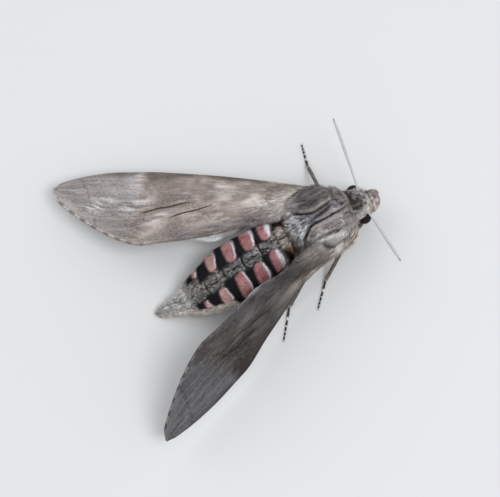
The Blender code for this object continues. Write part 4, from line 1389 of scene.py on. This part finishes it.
# A blade's front and rear edge along it, its camber, veins, mesh grid and numbers of scales
Blade = namedtuple("Blade", "slot length rear_root lead trail camber veins grid scales fringe")
FOREWING = Blade(
    "forewing_scales", 51.3, 3.7,
    curve((0, 0), (0.1, -0.8), (0.2, -1.5), (0.35, -2.4), (0.5, -3), (0.62, -3.3), (0.74, -3.2),
          (0.85, -2.5), (0.93, -1.4), (0.97, -0.6), (1, 0.4)),
    curve((0, 4.9), (0.06, 6.5), (0.14, 8.3), (0.27, 10.5), (0.41, 12), (0.53, 13.1),
          (0.61, 13.8), (0.67, 13.2), (0.75, 11.5), (0.83, 9.1), (0.91, 6.1), (0.97, 3.4),
          (1, 1.3)),
    1, FORE_VEINS, (240, 80), 31000, 5200)
HINDWING = Blade(
    "hindwing_scales", 29, 1,
    curve((0, 0), (0.2, -1.4), (0.45, -2.1), (0.7, -2), (0.88, -0.9), (1, 0.9)),
    curve((0, 2), (0.15, 4.3), (0.3, 6.7), (0.4, 8.3), (0.5, 9.1), (0.63, 9), (0.76, 8.1),
          (0.88, 6.2), (1, 2.6)),
    0.6, HIND_VEINS, (150, 60), 9000, 2200)
HEM = curve((0, 1), (0.25, 1), (0.6, 0.965), (1, 0.95))     # the blade ends here, the fringe beyond
FORE_BREADTH = 15             # breadths of the flat sheets on which the markings are laid
HIND_BREADTH = 9
ROOT_HAIRS = 6400
DASH_LOCKS = 2400             # for a dash as long as the wing

Wing = namedtuple("Wing", "side blade root sweep slope roof twist")
NO_TWIST = curve((0, 0), (1, 0))
RAISED_TWIST = curve((0, 7), (0.08, 13), (0.18, 14.5), (0.3, 9), (0.45, 4.5), (0.6, 0), (1, 0))
WINGS = {
    "forewing_left": Wing(1, FOREWING, (7.6, -1.2, 8.5), 28.6, 4, 15, NO_TWIST),
    "forewing_right": Wing(-1, FOREWING, (-7.3, -1.6, 8.3), 20.25, 4, 60, RAISED_TWIST),
    "hindwing_left": Wing(1, HINDWING, (7.2, 3.4, 7), 31, 3, -4, NO_TWIST),
    "hindwing_right": Wing(-1, HINDWING, (-6.25, 3.6, 6.6), 20.4, 3, 64, NO_TWIST),
}

# Dark dashes of a forewing: (u, v) of both ends, half width in millimetres, and how dark
DASHES = ((0.335, 0.548, 0.496, 0.675, 0.1, 0.85), (0.425, 0.478, 0.612, 0.578, 0.1, 0.85))
# Cross lines of a forewing: where each meets the front edge and its strength; and bands of a
# hindwing: place and half width
CROSS_LINES = ((0.115, 0.35), (0.2, 0.4), (0.345, 0.5), (0.365, 0.4), (0.565, 0.5), (0.6, 0.45),
               (0.735, 0.35), (0.8, 0.3))
HIND_BANDS = ((0.34, 0.03), (0.47, 0.035), (0.6, 0.04), (0.86, 0.07))
# Dark blots near a forewing's front edge, and pale smudges: u, v, reach along and across, strength
BLOTS = ((0.595, 0.1, 0.022, 0.1, 0.8), (0.54, 0.06, 0.05, 0.06, 0.6),
         (0.42, 0.13, 0.014, 0.07, 0.6), (0.37, 0.2, 0.02, 0.05, 0.4),
         (0.47, 0.3, 0.012, 0.05, 0.35), (0.3, 0.1, 0.02, 0.06, 0.4))
SMUDGES = ((0.65, 0.5, 0.055, 0.07, 0.8), (0.55, 0.66, 0.05, 0.05, 0.6),
           (0.815, 0.65, 0.028, 0.09, 0.9), (0.78, 0.5, 0.05, 0.1, 0.4),
           (0.655, 0.12, 0.02, 0.12, 0.5), (0.1, 0.62, 0.06, 0.08, 0.7),
           (0.46, 0.38, 0.02, 0.06, 0.5), (0.33, 0.2, 0.03, 0.08, 0.4),
           (0.9, 0.42, 0.05, 0.06, 0.4))

# Colours of the wings of each side, and how strong their patch, smudges, lines and dashes are;
# banded is how strongly the root is banded, soft how soft the middle patch's edges are.
# The moth's right side (-1) has darker colours and fainter smudges throughout: painted shade
# for the steeply raised right wing, which faces away from the light.
Marks = namedtuple("Marks", "seed light dark outer line patch patchiness blue root smudge smudges "
                   "lines hind dash dashes banded soft")
MARKS = {
    1: Marks(400, tone(164, 153, 146), tone(128, 117, 111), (150, 147, 146), tone(78, 68, 63),
             (108, 96, 90), 0.45, (158, 160, 168), (206, 198, 190), (220, 218, 218), 0.95,
             0.6, (100, 98, 100), (62, 48, 38), 0.9, 0, 0.018),
    # Right wings: every colour darker than on the left, as painted shade
    -1: Marks(500, tone(95, 91, 89), tone(64, 59, 57), (110, 111, 114), tone(40, 34, 32),
              (40, 33, 29), 0.95, (92, 93, 97), (150, 142, 136), (128, 128, 130), 0.5,
              0.6, (80, 76, 80), (34, 27, 25), 0.8, 1, 0.045),
}


def wing_axes(wing, steeper=0):
    """Unit directions along the wing, across it to the rear, and out of its top.

    steeper, in degrees, is added to the roof slope; it may be an array.
    """
    sweep, slope = radians(wing.sweep), radians(wing.slope)
    roof = np.radians(wing.roof + np.asarray(steeper, float))[..., None]
    level = np.array([wing.side * sin(sweep), cos(sweep), 0])
    along = level * cos(slope) - sin(slope) * UP
    inward = np.array([-wing.side * cos(sweep), sin(sweep), 0])
    top = np.cross(inward, along) * wing.side
    if top[2] < 0:
        top = -top
    return (along, inward * np.cos(roof) + top * np.sin(roof),
            top * np.cos(roof) - inward * np.sin(roof))


def wing_points(wing, u, v, lift=0):
    """Points of the wing at u along it and v across it, lift above its middle surface."""
    along, rearward, _ = wing_axes(wing)
    _, chord_way, normal = wing_axes(wing, wing.twist(u))
    blade = wing.blade
    s = (1 - v) * blade.length * u + v * (blade.rear_root + (blade.length - blade.rear_root) * u)
    edge = blade.trail(u)
    c = (1 - v) * (blade.lead(u) - edge)
    rise = blade.camber * np.sin(np.pi * v) * np.sin(np.pi * (0.1 + 0.9 * u)) + lift
    return (np.array(wing.root) + s[..., None] * along + edge[..., None] * rearward
            + c[..., None] * chord_way + rise[..., None] * normal)


def chord(blade, u):
    """Breadth of a blade at u, in millimetres."""
    return blade.trail(u) - blade.lead(u)


def vein_height(blade, u, v):
    """1 along the veins, falling away beside them."""
    height = 0 * u
    for u0, v0, u1, v1 in blade.veins:
        t = np.clip((u - u0) / (u1 - u0), 0, 1)
        off = v - (v0 + (v1 - v0) * (0.55 * t + 0.45 * t ** 3))
        height = np.maximum(height, ridge(off * chord(blade, u), 0.16) * ((u >= u0) & (u <= u1)))
    return height


def zigzag(v, count):
    """How far a zigzag line wanders along the wing, for count / 2 teeth across it."""
    return 0.012 * np.abs((v * count) % 2 - 1)


def oval_shares(u, v, ovals, slant=0):
    """Shares of oval marks, given as u, v, reach along and across, and strength."""
    for cu, cv, along, across, share in ovals:
        off = v - cv - slant * (u - cu)
        yield share * dab((u - cu) / along, off / across, 1)


def dash_places(u):
    """For each dash of a forewing: its v at u, its half width, its strength and its run."""
    for u0, v0, u1, v1, thick, share in DASHES:
        t = np.clip((u - u0) / (u1 - u0), 0, 1)
        ends = window(u0, u1, u, 0.012)
        yield v0 + (v1 - v0) * t - 0.006 * np.sin(60 * u), thick * (0.5 + 0.5 * ends), share * ends


def forewing_tint(u, v, marks):
    """Taupe grey with streaks, clouds, zigzag cross lines and two dark dashes."""
    flat = np.stack([u * FOREWING.length, v * FORE_BREADTH, 0 * u], -1).reshape(-1, 3)

    def noise(size, seed):
        return cloud(flat, size, seed + marks.seed).reshape(u.shape)

    streak = noise((2.4, 0.28, 1), 1)
    fine = noise((0.7, 0.2, 1), 2)
    blot = noise((3.2, 1.7, 1), 3)
    speck = noise(0.3, 4)
    ragged = 0.018 * (noise(0.9, 5) - 0.5) + 0.03 * (noise((3, 1.2, 1), 6) - 0.5)
    colour = layered(
        marks.dark, (marks.light, 0.2 + 0.6 * streak),
        (marks.light * 1.2, 0.5 * ramp(0.5, 0.85, blot)),
        (marks.dark * 0.72, 0.5 * ramp(0.42, 0.15, blot)),
        (marks.dark * 0.66, 0.4 * ramp(0.36, 0.12, fine)),
        (marks.light * 1.12, 0.3 * ramp(0.66, 0.9, fine)),
        (marks.outer, 0.55 * ramp(0.62, 0.74, u)))
    # Cross lines, wavy and doubled, best seen at the front edge
    at = u + 0.06 * (v - 0.3) ** 2 + ragged
    for place, strength in CROSS_LINES:
        line = ridge(at - place - zigzag(v, 9), 0.0045)
        colour = layered(colour, (marks.line, strength * marks.lines * line * ramp(1, 0.2, v)))
    # Front edge: a dark strip broken by paler stretches, and blots beside the middle patch
    strip = ramp(0.1, 0.03, v) * window(0.16, 0.78, u, 0.04)
    front = ramp(0.16, 0.05, v + 0.06 * (blot - 0.5)) * ramp(0.1, 0.2, u)
    colour = layered(
        colour, (marks.line, 0.7 * strip * ramp(0.25, 0.6, noise((2.5, 3, 1), 7) + 0.15)),
        (marks.line * 1.35, 0.45 * front))
    for share in oval_shares(u, v, BLOTS):
        colour = layered(colour, (marks.line, share * ramp(0.15, 0.5, fine + 0.15)))
    # Middle patch, with a sharp outer edge beyond which the wing is bluer
    patch = window(0.335, 0.632, at, marks.soft) * ramp(0.8, 0.6, v + 1.5 * ragged)
    shade = patch * (0.45 + 0.55 * ramp(0.36, 0.55, u)) * (0.6 + 0.4 * ramp(0.62, 0.35, speck))
    bluish = window(0.642, 0.7, at, 0.03) * ramp(0.62, 0.3, v)
    # Pale root, a bluish darker inner margin, and cream and brown bands at the raised wing's root
    pale = window(0.05, 0.3, u, 0.06) * window(0.2, 0.62, v, 0.16) * ramp(0.3, 0.7, blot)
    inner = window(0.1, 0.5, u, 0.05) * ramp(0.76, 0.9, v)
    near = ramp(0.27, 0.15, u) * marks.banded
    brown = [0.9 * near * ridge(v - place - 0.1 * u, 0.045) for place in (0.14, 0.4)]
    white = dab((u - 0.02) / 0.03, (v - 0.2) / 0.1, 1)
    colour = layered(
        colour, (marks.patch, marks.patchiness * shade),
        (marks.blue, 0.5 * bluish * ramp(0.2, 0.7, noise((1.6, 1.2, 1), 9) + 0.2)),
        (marks.root, 0.8 * ramp(0.17, 0.04, u) * ramp(0.15, 0.4, v)),
        (marks.root, 0.48 * pale * marks.smudges),
        (marks.hind, 0.65 * inner * ramp(0.1, 0.6, fine + 0.2)),
        ((190, 174, 163), 0.62 * near * ramp(0.56, 0.42, v)),
        ((78, 54, 42), brown[0]), ((78, 54, 42), brown[1]), ((236, 232, 228), near * white))
    for share in oval_shares(u, v, SMUDGES, 1.3):
        colour = layered(colour, (marks.smudge, marks.smudges * share * ramp(0.3, 0.6, streak)))
    # Brown mottling along the inner edge near the root
    mottle = window(0.1, 0.36, u, 0.05) * ramp(0.6, 0.75, v)
    mottle = mottle * ramp(0.35, 0.65, noise((1.4, 0.5, 1), 8))
    colour = layered(colour, (marks.line, 0.5 * mottle))
    for middle, half, share in dash_places(u):
        line = ridge((v - middle) * chord(FOREWING, u), half)
        colour = layered(colour, (marks.dash, marks.dashes * share * line))
    # Outer margin: zigzag line, then a chequered hem
    edge_line = ridge(u - 0.9 + 0.1 * v + zigzag(v, 17), 0.005) * ramp(0, 0.1, v)
    hem = np.maximum(ramp(0.972, 0.99, u), ramp(0.965, 0.985, v) * ramp(0.45, 0.6, u))
    check = (np.sin(2 * np.pi * (v * 7 + u * 9)) > 0.1) * 1
    return layered(colour, (marks.line, 0.4 * edge_line),
                   (layered(marks.line, (marks.root, check)), 0.75 * hem))


def hindwing_tint(u, v, marks):
    """Pale grey with dark cross bands, whitish at the root and front edge."""
    flat = np.stack([u * HINDWING.length, v * HIND_BREADTH, 0 * u], -1).reshape(-1, 3)
    streak = cloud(flat, (1.6, 0.22, 1), 71 + marks.seed).reshape(u.shape)
    colour = layered((150, 150, 153), ((196, 197, 198), 0.2 + 0.7 * streak))
    for place, wide in HIND_BANDS:
        band = ridge(u + 0.12 * (v - 0.4) - place, wide)
        colour = layered(colour, ((74, 70, 72), 0.75 * band * ramp(0.06, 0.25, v)))
    # Whitish patch towards the rear edge, strongest on the left: the hindwing's own pale, made
    # whiter as painted light where the forewing shades it
    white = 0.9 * marks.smudges * ramp(0.62, 0.85, v) * ramp(0.35, 0.45, u)
    return layered(colour, ((206, 204, 202), 0.6 * ramp(0.3, 0.05, v) + 0.3 * ramp(0.2, 0, u)),
                   ((238, 240, 242), white))


def wing_tint(wing, u, v):
    tint = forewing_tint if wing.blade is FOREWING else hindwing_tint
    return tint(u, v, MARKS[wing.side])


def build_wing(name, wing):
    """A thin cambered blade with raised veins, painted above and paler beneath."""
    rows, columns = wing.blade.grid
    u = np.linspace(0, 1, rows)[:, None] + np.zeros(columns)
    v = np.linspace(0, 1, columns)[None, :] * HEM(u)
    flat = np.stack([u, v], -1).reshape(-1, 2)
    to_edge = np.minimum(np.minimum(v, 1 - v) * 14, np.minimum(u + 0.2, 1 - u) * 30)
    thin = np.sqrt(np.clip(to_edge, 0, 1))
    veins = vein_height(wing.blade, u, v)
    spots = np.stack([u * 51, v * FORE_BREADTH, 0 * u], -1).reshape(-1, 3)
    ripple = 0.05 * (cloud(spots, (5, 1.6, 1), 60).reshape(u.shape) - 0.5)
    half = 0.02 + 0.06 * thin
    upper = wing_points(wing, u, v, ripple + half + 0.05 * veins * thin)
    lower = wing_points(wing, u, v, ripple - half - 0.03 * veins * thin)
    count = rows * columns
    sheet = grid_faces(rows, columns, False)
    inner = np.arange(count).reshape(rows, columns)
    rim = np.concatenate([inner[0], inner[1:, -1], inner[-1, -2::-1], inner[-2:0:-1, 0]])
    after = np.roll(rim, -1)
    walls = np.stack([rim, after, after + count, rim + count], 1)
    faces = np.concatenate([sheet, sheet[:, ::-1] + count, walls[:, ::-1]])
    i, j = rows // 2, columns // 2
    way = np.cross(upper[i + 1, j] - upper[i, j], upper[i, j + 1] - upper[i, j])
    if np.dot(way, wing_axes(wing)[2]) > 0:
        faces = faces[:, ::-1]
    top = wing_tint(wing, u, v)
    top = layered(top, (top * 0.8, 0.5 * veins * ramp(0.05, 0.2, u)))
    beneath = layered((150, 142, 136), ((112, 104, 100), veins), (top, 0.35))
    half_sheet = flat * (1, 0.49)
    build_piece(
        "blade_" + name, (np.concatenate([upper, lower]).reshape(-1, 3), [faces]), WING_SCALES,
        [name], np.concatenate([top, beneath]).reshape(-1, 3),
        [("wing", np.concatenate([flat, flat]) * (wing.blade.length, FORE_BREADTH)),
         ("OFBake", np.concatenate([half_sheet, half_sheet + (0, 0.51)]))])


def wing_surface(wing, u, v, lift):
    """Roots on the upper side of a wing."""
    _, _, normal = wing_axes(wing, wing.twist(u))
    return Roots(wing_points(wing, u, v, lift), np.broadcast_to(normal, (len(u), 3)))


def corner_tints(wing, u, v, length):
    """Tints for the five corners of locks that lie along a wing."""
    run = u[:, None] + LOCK_REACH[None] * length[:, None] / wing.blade.length
    side = v[:, None] + 0 * run
    return wing_tint(wing, np.clip(run, 0, 1).ravel(), side.ravel()).reshape(-1, 5, 3)


WING_STEP = 0.01              # of a wing's length, over which directions on it are taken


def along_wing(wing, u, v):
    """Direction in which u grows at each place of a wing."""
    return unit(wing_points(wing, u + WING_STEP, v) - wing_points(wing, u - WING_STEP, v))


def wing_coat(name, wing):
    """Flat overlapping scales over the upper side, lying along the wing."""
    rng = np.random.default_rng(60 + wing.side + 7 * (wing.blade is FOREWING))
    count = wing.blade.scales
    u = rng.uniform(0, 0.985, 3 * count)
    wide = chord(wing.blade, u)
    u = u[rng.random(len(u)) < wide / wide.max()][:count]
    v = rng.uniform(0.012, 0.98, len(u)) * HEM(u)
    length = 0.7 * ramp(-0.05, 0.12, v) * ramp(1.03, 0.95, u)
    shapes = lock_shapes(wing_surface(wing, u, v, 0.05), along_wing(wing, u, v), length, 0.17,
                         2.2, 601, 6, 0.12)
    tints = varied(corner_tints(wing, u, v, length), 0.1, 602)
    coat_piece("coat_" + name, shapes, tints, (u, v), head=False)


def wing_dashes(name, wing):
    """Narrow dark locks laid end over end along the dashes of a forewing."""
    marks = MARKS[wing.side]
    rng = np.random.default_rng(90 + wing.side)
    laid = []
    for u0, v0, u1, v1, thick, share in DASHES:
        count = int(DASH_LOCKS * (u1 - u0) * share)
        t = rng.random(count)
        u = u0 + (u1 - u0) * t
        v = v0 + (v1 - v0) * t - 0.006 * np.sin(60 * u) + 0.003 * rng.standard_normal(count)
        ahead = wing_points(wing, u + WING_STEP, v + WING_STEP * (v1 - v0) / (u1 - u0))
        laid.append((u, v, t, unit(ahead - wing_points(wing, u, v)), np.full(count, share),
                     1.3 * thick * window(0.12, 0.85, t, 0.12) + 0.03))
    u, v, t, lies, share, widths = gathered(laid)
    shapes = lock_shapes(wing_surface(wing, u, v, 0.1), lies, 0.65, widths, 3, 631, 2.5, 0.2)
    fade = window(0.1, 0.9, t, 0.12)
    tints = layered(wing_tint(wing, u, v), (marks.dash, share * (0.45 + 0.55 * fade)))
    coat_piece("coat_dashes_" + name, shapes, varied(tints, 0.1, 632), (u, v),
               head=False)


def wing_fringe(name, wing):
    """Scales standing out along the rear and outer margin of a wing."""
    marks = MARKS[wing.side]
    rng = np.random.default_rng(71 + wing.side + 7 * (wing.blade is FOREWING))
    u = rng.uniform(0.1, 0.995, wing.blade.fringe)
    v = HEM(u) * (1 - 0.02 * rng.random(len(u)))
    roots = wing_surface(wing, u, v, 0)
    edge = unit(wing_points(wing, np.clip(u + WING_STEP, 0, 1), v)
                - wing_points(wing, u - WING_STEP, v))
    out = unit(np.cross(edge, roots.normals))
    out = out * np.sign(np.sum(out * wing_axes(wing)[1], axis=1, keepdims=True))
    length = 0.68 * (0.5 + 0.5 * ramp(0.1, 0.5, u)) * ramp(1.02, 0.94, u)
    shapes = lock_shapes(roots, out + 0.6 * edge, length, 0.14, 3, 611, 8, 0.2)
    chequers = ((u * 40 + v * 9) % 2 > 0.9) * 1
    tints = layered(wing_tint(wing, np.clip(u, 0, 0.99), np.clip(v, 0, 0.985)),
                    (layered(marks.line, (marks.root, chequers)), 0.45 * ramp(0.5, 0.75, u)))
    coat_piece("coat_fringe_" + name, shapes, varied(tints, 0.12, 612), (u, v),
               head=False)


def wing_root_hair(name, wing):
    """Long hair running from the shoulder over the root of a forewing, and at its inner
    margin hanging over towards the waist."""
    rng = np.random.default_rng(80 + wing.side)
    u = rng.exponential(0.055, ROOT_HAIRS) - 0.03
    u = u[u < 0.26]
    v = np.where(rng.random(len(u)) < 0.25, rng.uniform(0.88, 1, len(u)),
                 rng.uniform(0.06, 1, len(u)))
    length = (2 * ramp(0.25, 0, u) + 0.6) * (0.4 + 0.6 * ramp(0.02, 0.25, v))
    inner = (ramp(0.78, 0.97, v) * ramp(0.2, 0.08, u))[:, None]
    lie = along_wing(wing, u, v) + 1.1 * inner * np.array([-wing.side, 0.2, -0.35])
    roots = wing_surface(wing, u, v, 0.03)
    roots = Roots(roots.points, unit(roots.normals + 1.5 * inner * UP))
    shapes = lock_shapes(roots, lie, length, 0.15, 5 * ramp(0.3, 0, u) + 2, 621, 8, 0.25)
    tints = varied(corner_tints(wing, np.clip(u, 0, 1), v, length), 0.14, 622)
    coat_piece("coat_root_" + name, shapes, tints, ((u + 0.03) * 3, v),
               head=False)


# ---------------------------------------------------------------- stage, light and camera

CAMERA_HEADING = 27.5         # degrees the camera looks round from straight over the head
CAMERA_TILT = 13              # degrees from straight down
CAMERA_REACH = 300            # from the camera to the point it aims at
CAMERA_LENS = 108             # focal length
CAMERA_AIM = (13.6, 5.3)      # how far the view's middle lies left of and below the thorax
AIM_HEIGHT = 8                # how far above the floor that point is
FLOOR_SIZE = 3                # half the floor's side in metres
# Lights: name, place and diameter in metres, and power in watts
LIGHTS = (("key", (-0.2, -0.12, 0.55), 0.3, 1.9), ("fill", (0.4, 0.25, 0.5), 0.5, 1.1))


def camera_axes():
    """Unit directions to the view's right, up in it, and back from it to the camera."""
    h, t = radians(CAMERA_HEADING), radians(CAMERA_TILT)
    level = np.array([cos(h), -sin(h), 0])
    return (np.array([-sin(h), -cos(h), 0]), cos(t) * level + sin(t) * UP,
            cos(t) * UP - sin(t) * level)


def place_camera():
    """A camera that looks back along the third axis, with the first to its right."""
    right, up, back = camera_axes()
    aim = AIM_HEIGHT * UP - CAMERA_AIM[0] * right - CAMERA_AIM[1] * up
    data = bpy.data.cameras.new("view")
    data.lens = CAMERA_LENS
    data.sensor_width = 36
    data.clip_start = 0.01
    data.clip_end = 10
    cam = new_object("view", data)
    cam.location = Vector(to_frame(aim + CAMERA_REACH * back))
    cam.rotation_euler = Matrix((right, up, back)).transposed().to_euler()
    bpy.context.scene.camera = cam


def build_floor():
    corners = [(x * FLOOR_SIZE, y * FLOOR_SIZE, 0) for x, y in ((-1, -1), (1, -1), (1, 1), (-1, 1))]
    mesh = bpy.data.meshes.new("floor")
    mesh.from_pydata(corners, [], [(0, 1, 2, 3)])
    mat = new_material("pale floor")
    mesh.materials.append(finish_material(mat, (0.56, 0.56, 0.56, 1), 0.9))
    new_object("floor", mesh)


def light_stage():
    """Soft light from all sides, and two round lights that shine on the middle of the floor."""
    world = bpy.data.worlds.new("soft room")
    world.use_nodes = True
    background = world.node_tree.nodes["Background"].inputs
    background["Color"].default_value = (0.93, 0.96, 1, 1)
    background["Strength"].default_value = 0.85
    bpy.context.scene.world = world
    for name, place, size, power in LIGHTS:
        data = bpy.data.lights.new(name, "AREA")
        data.shape = "DISK"
        data.size = size
        data.energy = power
        light = new_object(name, data)
        light.location = place
        light.rotation_euler = Vector(place).to_track_quat("Z", "Y").to_euler()
    bpy.context.scene.view_settings.view_transform = "Standard"


# ---------------------------------------------------------------- all together

TRUNK_NODES = ["head", "palp_left", "palp_right", "collar", "thorax", "tegula_left",
               "tegula_right", *("abdomen_ring_%d" % k for k in range(1, 8)), "abdomen_tip"]


def build_moth():
    skin = shape_skin()
    # The skin takes the coat's tint at 0.8: painted shade, for where it shows between the locks
    build_piece("body_skin", (with_head(skin.straight), [skin.quads]), SKIN_SCALES,
                TRUNK_NODES, 0.8 * trunk_tint(skin.straight))
    for grow in (grow_coat, shoulder_tufts, stroke_locks):
        grow(skin)
    shoulder_band()
    for side, word, centre in EYES:
        build_eye(word, centre)
        build_antenna(side, word)
    eye_rims()
    build_tongue()
    legs = {word: leg_paths(leg) for word, leg in LEGS.items()}
    for word, paths in legs.items():
        build_leg(word, paths)
        build_spines(word, paths[1], paths[2])
    leg_coat(legs.values())
    for name, wing in WINGS.items():
        build_wing(name, wing)
        wing_coat(name, wing)
        wing_fringe(name, wing)
        if wing.blade is FOREWING:
            wing_root_hair(name, wing)
            wing_dashes(name, wing)


build_moth()
build_floor()
light_stage()
place_camera()
